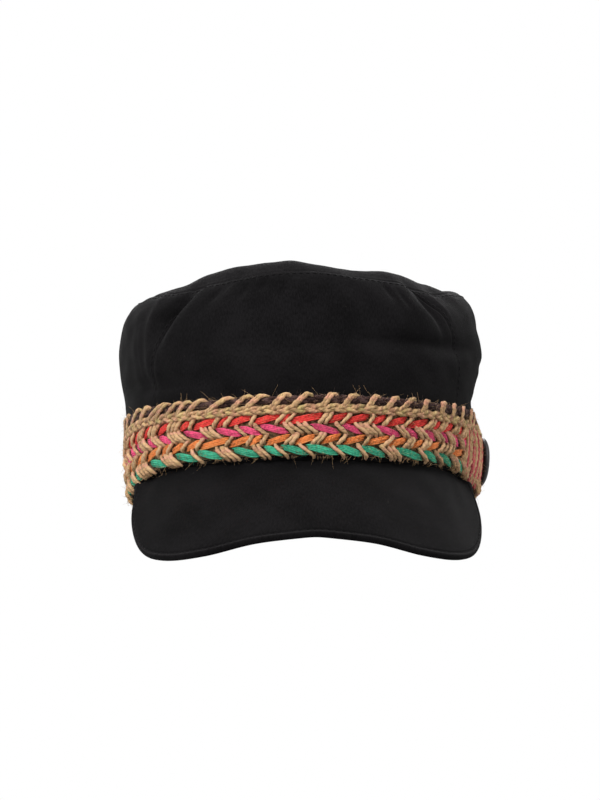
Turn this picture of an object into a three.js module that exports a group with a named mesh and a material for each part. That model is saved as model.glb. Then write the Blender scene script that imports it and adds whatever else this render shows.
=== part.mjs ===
// A soft cadet cap in black cotton twill, with a woven jute band round it and one button at the side.
// Millimetres, +Z up. The cap faces -Y, and +X is on the right of someone who looks at its front.
// It stands as it would on a table: on the two low corners of its peak and on the back of its rim.

import * as THREE from 'three';

// Sizes of the cloth, the peak and the gaps between the pieces
const CLOTH = 1.6;
const PEAK_THICKNESS = 3.0;
const PIECE_GAP = 0.3;

// Level lines of the crown, from the rim up the side and over to the middle of the top.
// run is the length of cloth up the side to the line. wide, front and back are how far the line reaches
// along X, -Y and +Y. heights are its heights at AZIMUTHS, alike on both sides.
const AZIMUTHS = [0, 30, 60, 90, 120, 150, 180];
const CROWN_LINES = [
  {
    line: 'rim', run: 0, wide: 82.8, front: 97.5, back: 98.5,
    heights: [45, 42.6, 34.6, 17, 6, -0.6, -0.8],
  },
  {
    line: 'band_foot', run: 4, wide: 83.4, front: 98, back: 99,
    heights: [47.5, 44.9, 36.2, 19.4, 9.6, 5, 4.4],
  },
  {
    line: 'band_top', run: 42, wide: 86.8, front: 97.5, back: 101,
    heights: [76, 73.4, 67.6, 57.6, 45.4, 37, 34.5],
  },
  {
    line: 'belly', run: 71, wide: 90.6, front: 94, back: 102.5,
    heights: [98, 96, 92, 86.5, 72, 61, 58],
  },
  {
    line: 'upper', run: 89, wide: 89.8, front: 89.5, back: 101,
    heights: [117, 114, 108.5, 104, 90, 77, 73],
  },
  {
    line: 'shoulder', run: 100, wide: 85.4, front: 86, back: 96.5,
    heights: [127, 122, 117, 113.6, 100, 86, 81.5],
  },
  {
    line: 'seam', run: 108, wide: 80, front: 82.5, back: 90.5,
    heights: [132.2, 127.2, 121, 117.8, 104.5, 90.5, 86],
  },
  {
    line: 'roll', run: 118, wide: 71, front: 75, back: 81,
    heights: [135.6, 133.2, 124.4, 119.4, 107.5, 94, 89.5],
  },
  {
    line: 'half', run: 152, wide: 38, front: 42, back: 44,
    heights: [128.5, 126.5, 121, 115.5, 110, 105, 103],
  },
  {
    line: 'middle', run: 192, wide: 0, front: 0, back: 0,
    heights: [114, 114, 114, 114, 114, 114, 114],
  },
];
const RIM = 0;
const BAND_FOOT = 4;
const BAND_TOP = 42;
const SEAM = 108;
const MIDDLE = 192;

// How far apart two points lie, in degrees and mm, when the wall's direction is taken between them
const WALL_STEP = 0.5;

// Folds and dents that the cloth keeps. Each is a soft bump along the wall's normal: azimuth and run are
// its centre, halfArc and halfRun its spread in degrees and mm, lean its slant in degrees per mm of run.
const FOLDS = [
  { fold: 'left corner tuck', azimuth: -46, run: 94, halfArc: 4.5, halfRun: 13, lean: 0.42, depth: -3.6 },
  { fold: 'left corner ridge', azimuth: -37, run: 101, halfArc: 5, halfRun: 8, lean: 0.3, depth: 1.0 },
  { fold: 'right corner tuck', azimuth: 41, run: 98, halfArc: 4, halfRun: 11, lean: -0.35, depth: -2.8 },
  { fold: 'right corner ridge', azimuth: 33, run: 104, halfArc: 5, halfRun: 8, lean: 0, depth: 0.9 },
  { fold: 'left low crease', azimuth: -64, run: 54, halfArc: 26, halfRun: 4.5, lean: 0, depth: -1.5 },
  { fold: 'right high crease', azimuth: 42, run: 74, halfArc: 25, halfRun: 4.5, lean: 0, depth: -2.0 },
  { fold: 'right side bump', azimuth: 84, run: 73, halfArc: 18, halfRun: 7, lean: 0, depth: 1.1 },
  { fold: 'right shoulder', azimuth: 68, run: 112, halfArc: 15, halfRun: 9, lean: 0, depth: 2.5 },
  { fold: 'left shoulder', azimuth: -80, run: 100, halfArc: 20, halfRun: 12, lean: 0, depth: -1.2 },
  { fold: 'left roll', azimuth: -38, run: 117, halfArc: 14, halfRun: 9, lean: 0, depth: 2.0 },
  { fold: 'right roll', azimuth: 45, run: 117, halfArc: 9, halfRun: 9, lean: 0, depth: 1.6 },
  { fold: 'right top slack', azimuth: 18, run: 117, halfArc: 12, halfRun: 9, lean: 0, depth: -1.0 },
  { fold: 'right side nick', azimuth: 88, run: 58, halfArc: 20, halfRun: 6, lean: 0, depth: -1.3 },
  { fold: 'left upright fold', azimuth: -56, run: 78, halfArc: 2.6, halfRun: 20, lean: 0, depth: 0.9 },
  { fold: 'left edge fold', azimuth: -64, run: 76, halfArc: 2.6, halfRun: 16, lean: 0, depth: 0.7 },
  { fold: 'top crest', azimuth: -9, run: 117, halfArc: 14, halfRun: 9, lean: 0, depth: 1.7 },
  { fold: 'top dip', azimuth: 50, run: 112, halfArc: 6, halfRun: 9, lean: 0, depth: -1.2 },
  { fold: 'back slouch', azimuth: 160, run: 62, halfArc: 34, halfRun: 7, lean: 0, depth: -1.8 },
  { fold: 'back left dent', azimuth: -128, run: 84, halfArc: 15, halfRun: 10, lean: 0.2, depth: -1.6 },
];

// The side seams stand at SEAM_FOOT degrees from the front, and lean in by SEAM_LEAN at the top seam
const SEAM_FOOT = 56;
const SEAM_LEAN = 19;
const SEAM_LEAN_POWER = 4;
const SEAM_GAP_DEGREES = 0.1;
const PANEL_COLUMNS = 22;
const PANEL_ROWS = 16;
const TOP_COLUMNS = 60;
const TOP_RINGS = 6;

// Outer edge of the peak's upper face from its middle to its end, mirrored on the other side
const PEAK_EDGE = [
  { share: 0, x: 0, y: -139, z: 15.6 },
  { share: 0.2, x: 27, y: -136.6, z: 12.4 },
  { share: 0.4, x: 50.5, y: -127.5, z: 5.6 },
  { share: 0.6, x: 69, y: -111, z: 1.7 },
  { share: 0.76, x: 79, y: -91, z: 3.4 },
  { share: 0.89, x: 83.2, y: -68, z: 14.0 },
  { share: 1, x: 81.4, y: -44, z: 30.4 },
];
const PEAK_END = 66;
const PEAK_SWELL = 2.4;
const PEAK_SHIFT = -0.6;
const PEAK_SKEW = 5;
const PEAK_COLUMNS = 30;
const PEAK_ROWS = 7;
const PEAK_STEP = 0.01;

// The band: six cords one above the other, and a lap where its end passes over its start
const BAND_CORDS = 6;
const BAND_BASE = 2.2;
const CORD_SWELL = 0.9;
const BAND_COLUMNS = 72;
const BAND_INNER_ROWS = 3;
const LAP_AZIMUTH = 93;
const LAP_HALF_ARC = 17;
const LAP_EDGE_ARC = 5;
const LAP_THICKNESS = 2.6;
const LAP_TOP = 0.7;

// The button on the lap, and its outline from the middle of its back to the middle of its face:
// reach is a share of its radius and height is in mm
const BUTTON_RADIUS = 13.1;
const BUTTON_RUN = 22;
const BUTTON_AZIMUTH = 93;
const BUTTON_SIDES = 28;
const BUTTON_OUTLINE = [
  { place: 'back middle', reach: 0, height: 0 },
  { place: 'back edge', reach: 0.91, height: 0 },
  { place: 'side, low', reach: 1, height: 0.9 },
  { place: 'side, high', reach: 1, height: 1.8 },
  { place: 'shoulder', reach: 0.92, height: 2.9 },
  { place: 'crest of the face', reach: 0.72, height: 3.8 },
  { place: 'edge of the dish', reach: 0.45, height: 3.3 },
  { place: 'face middle', reach: 0, height: 3.3 },
];

const twill = (color) => new THREE.MeshStandardMaterial({ color, roughness: 0.9, metalness: 0 });
const twillBlack = twill('#1b191b');
const peakBlack = twill('#1e1c1e');
const jute = new THREE.MeshStandardMaterial({ color: '#a98a5e', roughness: 0.95, metalness: 0 });
const horn = new THREE.MeshStandardMaterial({ color: '#1a1413', roughness: 0.45, metalness: 0 });

const radians = (degrees) => THREE.MathUtils.degToRad(degrees);

// Value of a table's column at a place along it: a cubic through each pair of rows, with its slope at
// a row taken from the rows on both sides.
function along(table, key, column, place) {
  const last = table.length - 1;
  let i = 0;
  while (i < last - 1 && place > table[i + 1][key]) {
    i += 1;
  }
  const slope = (j) => {
    const before = table[Math.max(j - 1, 0)];
    const after = table[Math.min(j + 1, last)];
    return (column(after) - column(before)) / (after[key] - before[key]);
  };
  const width = table[i + 1][key] - table[i][key];
  const t = (place - table[i][key]) / width;
  const start = column(table[i]);
  const end = column(table[i + 1]);
  const rise = 3 * t * t - 2 * t * t * t;
  const leave = t * (1 - t) * (1 - t);
  const arrive = t * t * (t - 1);
  return start + (end - start) * rise + width * (slope(i) * leave + slope(i + 1) * arrive);
}

// Heights given every 30 degrees, as the sum of cosines that passes through all of them
function cosineTerms(heights) {
  const n = heights.length - 1;
  return heights.map((_, k) => {
    const sum = heights.reduce((total, height, j) => {
      const weight = j === 0 || j === n ? 0.5 : 1;
      return total + weight * height * Math.cos((Math.PI * j * k) / n);
    }, 0);
    return (sum * (k === 0 || k === n ? 1 : 2)) / n;
  });
}
CROWN_LINES.forEach((line) => {
  line.terms = cosineTerms(line.heights);
});

function plainCrownPoint(azimuth, run) {
  const angle = radians(azimuth);
  const reach = Math.cos(angle) > 0 ? 'front' : 'back';
  const x = along(CROWN_LINES, 'run', (line) => line.wide, run) * Math.sin(angle);
  const y = -along(CROWN_LINES, 'run', (line) => line[reach], run) * Math.cos(angle);
  const z = AZIMUTHS.reduce((total, _, k) => {
    return total + along(CROWN_LINES, 'run', (line) => line.terms[k], run) * Math.cos(k * angle);
  }, 0);
  return new THREE.Vector3(x, y, z);
}

function crownNormal(azimuth, run) {
  const inside = Math.min(run, MIDDLE - WALL_STEP);
  const left = plainCrownPoint(azimuth - WALL_STEP, inside);
  const right = plainCrownPoint(azimuth + WALL_STEP, inside);
  const below = plainCrownPoint(azimuth, Math.max(inside - WALL_STEP, RIM));
  const above = plainCrownPoint(azimuth, Math.min(inside + WALL_STEP, MIDDLE));
  return run >= MIDDLE ? new THREE.Vector3(0, 0, 1) : right.sub(left).cross(above.sub(below)).normalize();
}

function foldHeight(azimuth, run) {
  return FOLDS.reduce((total, fold) => {
    const arc = (azimuth - fold.azimuth - fold.lean * (run - fold.run)) / fold.halfArc;
    const rise = (run - fold.run) / fold.halfRun;
    return total + fold.depth * Math.exp(-arc * arc - rise * rise);
  }, 0);
}

// A point of the crown, moved out along its normal. The rim is pressed flat where it rests.
function crownPoint(azimuth, run, outward = 0) {
  const normal = crownNormal(azimuth, run);
  const point = plainCrownPoint(azimuth, run).addScaledVector(normal, foldHeight(azimuth, run) + outward);
  point.z = Math.max(point.z, 0);
  return point;
}

// Closes a row of cross-sections into one body. A section is a loop: up one face and back down the other.
// Points that agree to MERGE_DIGITS decimals are merged, so that a section may start or end on a pole.
const MERGE_DIGITS = 4;

function closedBody(name, sections, ringed, material) {
  const size = sections[0].length;
  const triangles = [];
  const at = (i, k) => (i % sections.length) * size + (k % size);
  const spans = ringed ? sections.length : sections.length - 1;
  for (let i = 0; i < spans; i += 1) {
    for (let k = 0; k < size; k += 1) {
      triangles.push([at(i, k), at(i + 1, k), at(i + 1, k + 1)]);
      triangles.push([at(i, k), at(i + 1, k + 1), at(i, k + 1)]);
    }
  }
  if (!ringed) {
    const end = sections.length - 1;
    for (let k = 0; k < size / 2 - 1; k += 1) {
      const back = size - 1 - k;
      triangles.push([at(0, k), at(0, k + 1), at(0, back)]);
      triangles.push([at(0, k + 1), at(0, back - 1), at(0, back)]);
      triangles.push([at(end, k), at(end, back), at(end, k + 1)]);
      triangles.push([at(end, k + 1), at(end, back), at(end, back - 1)]);
    }
  }
  const places = new Map();
  const positions = [];
  const merged = sections.flat().map((point) => {
    const key = point.toArray().map((value) => value.toFixed(MERGE_DIGITS)).join(' ');
    if (!places.has(key)) {
      places.set(key, places.size);
      positions.push(point.x, point.y, point.z);
    }
    return places.get(key);
  });
  const indices = triangles
    .map((corners) => corners.map((corner) => merged[corner]))
    .filter(([a, b, c]) => a !== b && b !== c && c !== a);
  const geometry = new THREE.BufferGeometry();
  geometry.setAttribute('position', new THREE.Float32BufferAttribute(positions, 3));
  geometry.setIndex(indices.flat());
  geometry.computeVertexNormals();
  const mesh = new THREE.Mesh(geometry, material);
  mesh.name = name;
  return mesh;
}

const steps = (count) => Array.from({ length: count + 1 }, (_, i) => i / count);

// The loop round a strip of crown cloth at one azimuth line, from run low to run high
function clothSection(azimuthAt, low, high, rows) {
  const runs = steps(rows).map((share) => THREE.MathUtils.lerp(low, high, share));
  const outside = runs.map((run) => crownPoint(azimuthAt(run), run));
  const inside = runs.map((run) => crownPoint(azimuthAt(run), run, -CLOTH)).reverse();
  return [...outside, ...inside];
}

function sideSeam(run) {
  return SEAM_FOOT - SEAM_LEAN * Math.pow(run / SEAM, SEAM_LEAN_POWER);
}

function crownPanel(name, startAt, endAt) {
  const sections = steps(PANEL_COLUMNS).map((share) => {
    const azimuthAt = (run) => THREE.MathUtils.lerp(startAt(run), endAt(run), share);
    return clothSection(azimuthAt, RIM, SEAM - PIECE_GAP / 2, PANEL_ROWS);
  });
  return closedBody(name, sections, false, twillBlack);
}

function topPanel() {
  const sections = steps(TOP_COLUMNS).slice(0, TOP_COLUMNS).map((share) => {
    return clothSection(() => share * 360 - 180, SEAM + PIECE_GAP / 2, MIDDLE, TOP_RINGS);
  });
  return closedBody('crown_top_panel', sections, true, twillBlack);
}

// A point of the peak's upper face. side runs from -1 at one end to 1 at the other, and out from 0 at
// the root under the crown's rim to 1 at the outer edge. The face swells a little between the two, and
// the edge sits PEAK_SHIFT to one side, with its right corner PEAK_SKEW's way forward of its left one.
function peakPoint(side, out) {
  const azimuth = side * PEAK_END;
  const root = crownPoint(azimuth, RIM, -CLOTH);
  root.z = plainCrownPoint(azimuth, RIM).z - PIECE_GAP;
  const share = Math.abs(side);
  const edge = new THREE.Vector3(
    Math.sign(side) * along(PEAK_EDGE, 'share', (row) => row.x, share),
    along(PEAK_EDGE, 'share', (row) => row.y, share),
    along(PEAK_EDGE, 'share', (row) => row.z, share),
  );
  const point = root.lerp(edge, out);
  point.x += PEAK_SHIFT * out;
  point.y -= PEAK_SKEW * side * (1 - side * side) * out;
  point.z += PEAK_SWELL * Math.sin(Math.PI * out) * Math.cos((Math.PI / 2) * side ** 4);
  return point;
}

function peakNormal(side, out) {
  const left = peakPoint(Math.max(side - PEAK_STEP, -1), out);
  const right = peakPoint(Math.min(side + PEAK_STEP, 1), out);
  const nearer = peakPoint(side, Math.max(out - PEAK_STEP, 0));
  const further = peakPoint(side, Math.min(out + PEAK_STEP, 1));
  return right.sub(left).cross(nearer.sub(further)).normalize();
}

function peak() {
  const sections = steps(PEAK_COLUMNS).map((share) => {
    const side = share * 2 - 1;
    const outs = steps(PEAK_ROWS).reverse();
    const upper = outs.map((out) => peakPoint(side, out));
    const lower = outs.map((out) => {
      return peakPoint(side, out).addScaledVector(peakNormal(side, out), -PEAK_THICKNESS);
    });
    lower.forEach((point) => {
      point.z = Math.max(point.z, 0);
    });
    return [...upper, ...lower.reverse()];
  });
  return closedBody('peak', sections, false, peakBlack);
}

// How thick the band is at a share of its height: one swell for each cord, and a second layer at the lap,
// which thins out above LAP_TOP
function bandThickness(azimuth, share) {
  const swell = CORD_SWELL * Math.abs(Math.sin(Math.PI * BAND_CORDS * share));
  const away = Math.abs(azimuth - LAP_AZIMUTH);
  const lap = 1 - THREE.MathUtils.smoothstep(away, LAP_HALF_ARC, LAP_HALF_ARC + LAP_EDGE_ARC);
  const below = 1 - THREE.MathUtils.smoothstep(share, LAP_TOP, 1);
  return BAND_BASE + swell + LAP_THICKNESS * lap * below;
}

function wovenBand() {
  const runAt = (share) => THREE.MathUtils.lerp(BAND_FOOT, BAND_TOP, share);
  const sections = steps(BAND_COLUMNS).slice(0, BAND_COLUMNS).map((turn) => {
    const azimuth = turn * 360 - 180;
    const outside = steps(2 * BAND_CORDS).map((share) => {
      return crownPoint(azimuth, runAt(share), PIECE_GAP + bandThickness(azimuth, share));
    });
    const inside = steps(BAND_INNER_ROWS).map((share) => {
      return crownPoint(azimuth, runAt(share), PIECE_GAP);
    }).reverse();
    return [...outside, ...inside];
  });
  return closedBody('woven_band', sections, true, jute);
}

function bandButton() {
  const profile = BUTTON_OUTLINE.map(({ reach, height }) => {
    return new THREE.Vector2(reach * BUTTON_RADIUS, height);
  });
  const button = new THREE.Mesh(new THREE.LatheGeometry(profile, BUTTON_SIDES), horn);
  button.name = 'band_button';
  const crest = BAND_BASE + CORD_SWELL + LAP_THICKNESS;
  button.position.copy(crownPoint(BUTTON_AZIMUTH, BUTTON_RUN, crest + 2 * PIECE_GAP));
  const outward = crownNormal(BUTTON_AZIMUTH, BUTTON_RUN);
  button.quaternion.setFromUnitVectors(new THREE.Vector3(0, 1, 0), outward);
  return button;
}

// The edges of the side panels and the front panel along the seams, as azimuths at a run
const frontEdge = (run) => sideSeam(run) - SEAM_GAP_DEGREES;
const sideEdge = (run) => sideSeam(run) + SEAM_GAP_DEGREES;
const backEdge = () => 180 - SEAM_GAP_DEGREES;

const cap = new THREE.Group();
cap.add(
  crownPanel('crown_front_panel', (run) => -frontEdge(run), frontEdge),
  crownPanel('crown_right_panel', sideEdge, backEdge),
  crownPanel('crown_left_panel', (run) => -backEdge(run), (run) => -sideEdge(run)),
  topPanel(),
  peak(),
  wovenBand(),
  bandButton(),
);

// The origin is on the table, under the middle of the whole cap
const middle = new THREE.Box3().setFromObject(cap).getCenter(new THREE.Vector3());
cap.position.set(-middle.x, -middle.y, 0);

export default cap;
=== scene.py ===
"""Dresses the cadet cap: black twill crown and peak, and a worked band of jute and coloured yarn."""

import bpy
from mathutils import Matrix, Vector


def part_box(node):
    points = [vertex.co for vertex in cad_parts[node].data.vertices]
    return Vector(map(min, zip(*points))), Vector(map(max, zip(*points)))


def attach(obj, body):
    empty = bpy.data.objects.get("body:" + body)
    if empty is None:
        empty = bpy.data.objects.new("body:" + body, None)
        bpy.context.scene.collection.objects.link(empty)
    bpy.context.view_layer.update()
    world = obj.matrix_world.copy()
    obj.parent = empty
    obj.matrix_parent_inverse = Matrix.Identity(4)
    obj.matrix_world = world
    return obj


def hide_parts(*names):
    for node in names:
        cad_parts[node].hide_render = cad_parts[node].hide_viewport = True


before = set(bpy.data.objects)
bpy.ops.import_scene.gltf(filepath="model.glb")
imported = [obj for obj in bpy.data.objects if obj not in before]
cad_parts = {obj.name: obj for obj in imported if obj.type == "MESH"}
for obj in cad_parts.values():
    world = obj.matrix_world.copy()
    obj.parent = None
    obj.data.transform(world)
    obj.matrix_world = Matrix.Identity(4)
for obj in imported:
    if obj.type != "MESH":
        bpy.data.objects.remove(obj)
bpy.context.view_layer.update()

import math
from collections import namedtuple
from types import SimpleNamespace as Sizes

import bmesh
import bpy
import numpy as np
from mathutils import Vector

bl_info = {
    "name": "Cadet Cap",
    "version": (1, 0, 0),
    "blender": (4, 5, 0),
    "location": "3D View > Sidebar > Cap",
    "description": "Makes a soft cadet cap with a band of jute and coloured yarn",
    "category": "Add Mesh",
}

# Lengths in the tables and functions are in millimetres, and MM turns them into metres
MM = 0.001

# Cloth and gaps. The solid top panel has a point every SOLID_ARC degrees
CLOTH = 1.6
PIECE_GAP = 0.3
MIDDLE_GAP = 0.02
INNER_LAP = 0.5
HEM_ROLL = 0.7
CREASES_INSIDE = 0.4
SOLID_ARC = 6.0
WELD = 0.002

# Level lines of the crown: run is the length of cloth up from the rim; wide, front and back are how far
# the line reaches; heights are its heights every 30 degrees from the front to the back
Line = namedtuple("Line", "name run wide front back heights")
CROWN_LINES = (
    Line("rim", 0, 82.8, 97.5, 98.5, (45, 42.6, 34.6, 17, 6, -0.6, -0.8)),
    Line("band foot", 4, 83.4, 98, 99, (47.5, 44.9, 36.2, 19.4, 9.6, 5, 4.4)),
    Line("band top", 42, 86.8, 97.5, 101, (76, 73.4, 67.6, 57.6, 45.4, 37, 34.5)),
    Line("belly", 71, 90.6, 94, 102.5, (98, 96, 92, 86.5, 72, 61, 58)),
    Line("upper", 89, 89.8, 89.5, 101, (117, 114, 108.5, 104, 90, 77, 73)),
    Line("shoulder", 100, 85.4, 86, 96.5, (127, 122, 117, 113.6, 100, 86, 81.5)),
    Line("seam", 108, 80, 82.5, 90.5, (132.2, 127.2, 121, 117.8, 104.5, 90.5, 86)),
    Line("roll", 118, 71, 75, 81, (135.6, 133.2, 124.4, 119.4, 107.5, 94, 89.5)),
    Line("half", 152, 38, 42, 44, (128.5, 126.5, 121, 115.5, 110, 105, 103)),
    Line("middle", 192, 0, 0, 0, (114, 114, 114, 114, 114, 114, 114)),
)
RIM = 0.0
BAND_FOOT = 4.0
SEAM = 108.0
MIDDLE = 192.0
WALL_STEP = 0.5

# Folds and dents of the cloth, as bumps along its normal, and the finer creases beside them
Fold = namedtuple("Fold", "name azimuth run half_arc half_run lean depth")
FOLDS = (
    Fold("left corner tuck", -46, 94, 4.5, 13, 0.42, -3.6),
    Fold("left corner ridge", -37, 101, 5, 8, 0.3, 1.0),
    Fold("right corner tuck", 41, 98, 4, 11, -0.35, -2.8),
    Fold("right corner ridge", 33, 104, 5, 8, 0, 0.9),
    Fold("left low crease", -64, 54, 26, 4.5, 0, -1.5),
    Fold("right high crease", 42, 74, 25, 4.5, 0, -2.0),
    Fold("right side bump", 84, 73, 18, 7, 0, 1.1),
    Fold("right shoulder", 68, 112, 15, 9, 0, 2.5),
    Fold("left shoulder", -80, 100, 20, 12, 0, -1.2),
    Fold("left roll", -38, 117, 14, 9, 0, 2.0),
    Fold("right roll", 45, 117, 9, 9, 0, 1.6),
    Fold("right top slack", 18, 117, 12, 9, 0, -1.0),
    Fold("right side nick", 88, 58, 20, 6, 0, -1.3),
    Fold("left upright fold", -56, 78, 2.6, 20, 0, 0.9),
    Fold("left edge fold", -64, 76, 2.6, 16, 0, 0.7),
    Fold("top crest", -9, 117, 14, 9, 0, 1.7),
    Fold("top dip", 50, 112, 6, 9, 0, -1.2),
    Fold("back slouch", 160, 62, 34, 7, 0, -1.8),
    Fold("back left dent", -128, 84, 15, 10, 0.2, -1.6),
)
NICKS = (
    Fold("right nick above the band", 87, 48, 18, 6, 0, -2.5),
    Fold("right side, flat", 90, 82, 18, 11, 0, -1.4),
    Fold("right side, upper hollow", 77, 89, 12, 5, 0, -0.9),
    Fold("right side, lower hollow", 82, 68, 12, 3.5, 0, -1.1),
    Fold("left dip in the roll", -34, 114, 8, 10, 0, -1.0),
    Fold("left hollow beside the corner", -47, 117, 10, 8, 0, -1.5),
    Fold("left side, flat", -88, 83, 14, 10, 0, -0.5),
    Fold("left end of the roll", -80, 106, 7, 6, 0, -1.0),
    Fold("left top, flat", -19, 117, 7, 9, 0, -0.7),
    Fold("middle dip in the roll", 15, 114, 10, 10, 0, -1.6),
    Fold("middle hollow", 3, 117, 4.5, 8, 0, -0.8),
    Fold("right dip in the roll", 47, 113, 8, 10, 0, -1.6),
    Fold("middle top, flat", 20, 124, 9, 7, 0, -0.7),
    Fold("right top, flat", 34, 118, 9, 9, 0, -0.6),
    Fold("right corner, flat", 42, 117, 4, 8, 0, -0.6),
    Fold("right hollow beside the shoulder", 64, 114, 6.5, 7, 0, -2.6),
)
CREASES = (
    Fold("left groove under the corner", -47.5, 88, 1.7, 12, 0.30, -1.9),
    Fold("left groove lip", -44.5, 86, 1.2, 12, 0.30, 0.5),
    Fold("left thread of the upright fold", -56.5, 80, 0.9, 17, 0.02, 0.5),
    Fold("second left thread", -61, 74, 0.9, 15, -0.02, 0.4),
    Fold("third left thread", -52.5, 70, 0.9, 13, 0.04, 0.35),
    Fold("left pucker one", -31, 98, 1.6, 5, 0.25, -1.1),
    Fold("left pucker two", -26, 99, 1.4, 4.5, 0.20, 0.8),
    Fold("left pucker three", -21, 98, 1.4, 5, 0.25, -0.9),
    Fold("left pucker four", -15, 100, 1.3, 4, 0.10, -0.8),
    Fold("middle pucker", -8, 97, 1.2, 5, 0.10, -0.8),
    Fold("right pucker one", 26, 99, 1.4, 5, -0.20, -0.9),
    Fold("right pucker two", 31, 96, 1.3, 5, -0.25, -0.8),
    Fold("right groove under the corner", 43, 90, 1.6, 10, -0.30, -1.3),
    Fold("right corner thread", 48, 96, 1.2, 8, -0.30, 0.5),
    Fold("right long crease", 34, 75, 24, 1.6, 0.0, -0.6),
    Fold("left low thread", -62, 51, 18, 1.6, 0.0, -0.7),
    Fold("front slack", -12, 66, 18, 6, 0.1, 0.5),
)

# Side seams, which lean in by a power of the run
SEAM_FOOT = 56.0
SEAM_LEAN = 19.0
SEAM_LEAN_POWER = 4
SEAM_GAP_DEGREES = 0.01

# Cloth along the seams: how it rolls in, the ridge of the turned edges, the furrow of the topstitch, and
# the puckers that its thread draws, whose spacing wanders by two slow waves
Wave = namedtuple("Wave", "height length")
SEAM_DROP = Sizes(depth=0.6, width=0.6)
RIDGE = Sizes(height=0.25, foot=0.2, crest=1.5, shoulder=5.0, end=7.0)
FURROW = Sizes(depth=0.15, inset=1.9, width=0.4)
PUCKER = Sizes(depth=0.2, length=7.3, reach=6.0, foot=0.2, crest=2.5, back_shift=40)
PUCKER_WANDER = (Wave(1.7, 11), Wave(0.8, 4.1))
FAR_OFF = 1000.0

# How much of that shows: along the top seam and more at its corners, and up the other seams from low to
# high, on the left and on the right
SEAM_SHARE = Sizes(top=0.14, corners=0.4, low=0.15, rise=0.6, upper=(60, 96), left=0.8, right=0.45)
CORNER = Sizes(azimuth=46, half_arc=17)

# Slack of the soft cloth: waves that go round the crown a whole number of times and climb it. It calms
# down over the top, between two distances from the middle
SLACK = Sizes(count=14, turns=(5, 42), lengths=(16, 60), seed=5, height=0.16)
TOP_RADIUS = 63
TOP_CALM = (15, 78)

# Where the twill is painted paler: dye rubbed off beside the seams, lighter crests of folds and creases, and
# a painted highlight along the roll of the top, which faces the light; and how much of each there
WORN_AND_HIGHLIT = Sizes(inset=1.2, width=1.1, crest=2.2, thread=0.5, roll=117, roll_width=7)
WORN_AND_HIGHLIT_SHARE = Sizes(seams=0.14, crests=0.35, threads=0.2, roll=0.35)

# Distances of the first rows of points from an edge
NEAR_EDGE = (0, 0.12, 0.3, 0.55, 0.85, 1.2, 1.6, 2.1, 2.7)
NEAR_GROUND_EDGE = (0, 0.15, 0.4, 0.8)
NEAR_PEAK_EDGE = (0, 0.08, 0.2, 0.4, 0.65, 0.95, 1.3, 1.7, 2.1, 2.45, 2.8, 3.15, 3.5, 4.0, 4.6)

# Peak: the outer edge of its upper face from the middle to the end, its form, the bumps and the paler strip
# along its edge, which is wear with a painted highlight of the rolled edge, and the slack of its cloth
Edge = namedtuple("Edge", "share x y z")
Bump = namedtuple("Bump", "name height place width")
PEAK_EDGE = (
    Edge(0, 0, -139, 15.6),
    Edge(0.2, 27, -136.6, 12.4),
    Edge(0.4, 50.5, -127.5, 5.6),
    Edge(0.6, 69, -111, 1.7),
    Edge(0.76, 79, -91, 3.4),
    Edge(0.89, 83.2, -68, 14.0),
    Edge(1, 81.4, -44, 30.4),
)
PEAK = Sizes(thickness=3.0, end=66.0, swell=2.4, shift=-0.6, skew=5.0, middle=0.03, tuck=0.75, lip=0.6,
             groove=2.8, step=0.01, across=260, deep=50, crowding=0.6, half_arc=105, worn_below=0.5)
PEAK_BUMPS = (Bump("rolled strip", 0.3, 1.5, 0.9), Bump("groove of the topstitch", -0.5, PEAK.groove, 0.5))
# Paler strip along the edge: wear, and a painted highlight on the rolled edge where it faces the light
PEAK_WEAR_AND_HIGHLIGHT = (Bump("rubbed edge", 0.7, 2.0, 0.5),)
PEAK_SLACK = Sizes(arc=50, stretch=1.3, seed=9, height=0.1, reach=(3, 10))

# Topstitching: stitches that start in the cloth and bow out of it, and how finely their lines are drawn
STITCH = Sizes(length=2.3, gap=0.9, radius=0.3, sunk=0.25, bow=0.36, rings=6)
STITCH_LINE = Sizes(round=900, climb=220, peak=500, foot=1.5, head=2.5, peak_end=0.995)

# Twists: sides of the tube, its height for its width, and its plies, with the depth of the groove between
# them as a share of the radius and the length of one turn. A twist starts at any angle of ANY_TURN
Twist = namedtuple("Twist", "sides flat plies groove lay")
TWISTS = {
    "thread": Twist(6, 0.8, 0, 0, 7),
    "yarn": Twist(6, 1.1, 2, 0.14, 4.6),
    "jute": Twist(7, 0.85, 2, 0.2, 7.5),
    "brown_cord": Twist(10, 0.8, 2, 0.16, 7),
    "jute_plait": Twist(9, 0.88, 2, 0.17, 6.2),
    "hook": Twist(10, 0.8, 2, 0.2, 7),
    "upright": Twist(8, 0.85, 2, 0.2, 7),
    "tail": Twist(8, 1 / 1.15, 2, 0.16, 6),
    "fibre": Twist(3, 1, 0, 0, 7),
}
ANY_TURN = (0, 6)

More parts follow.
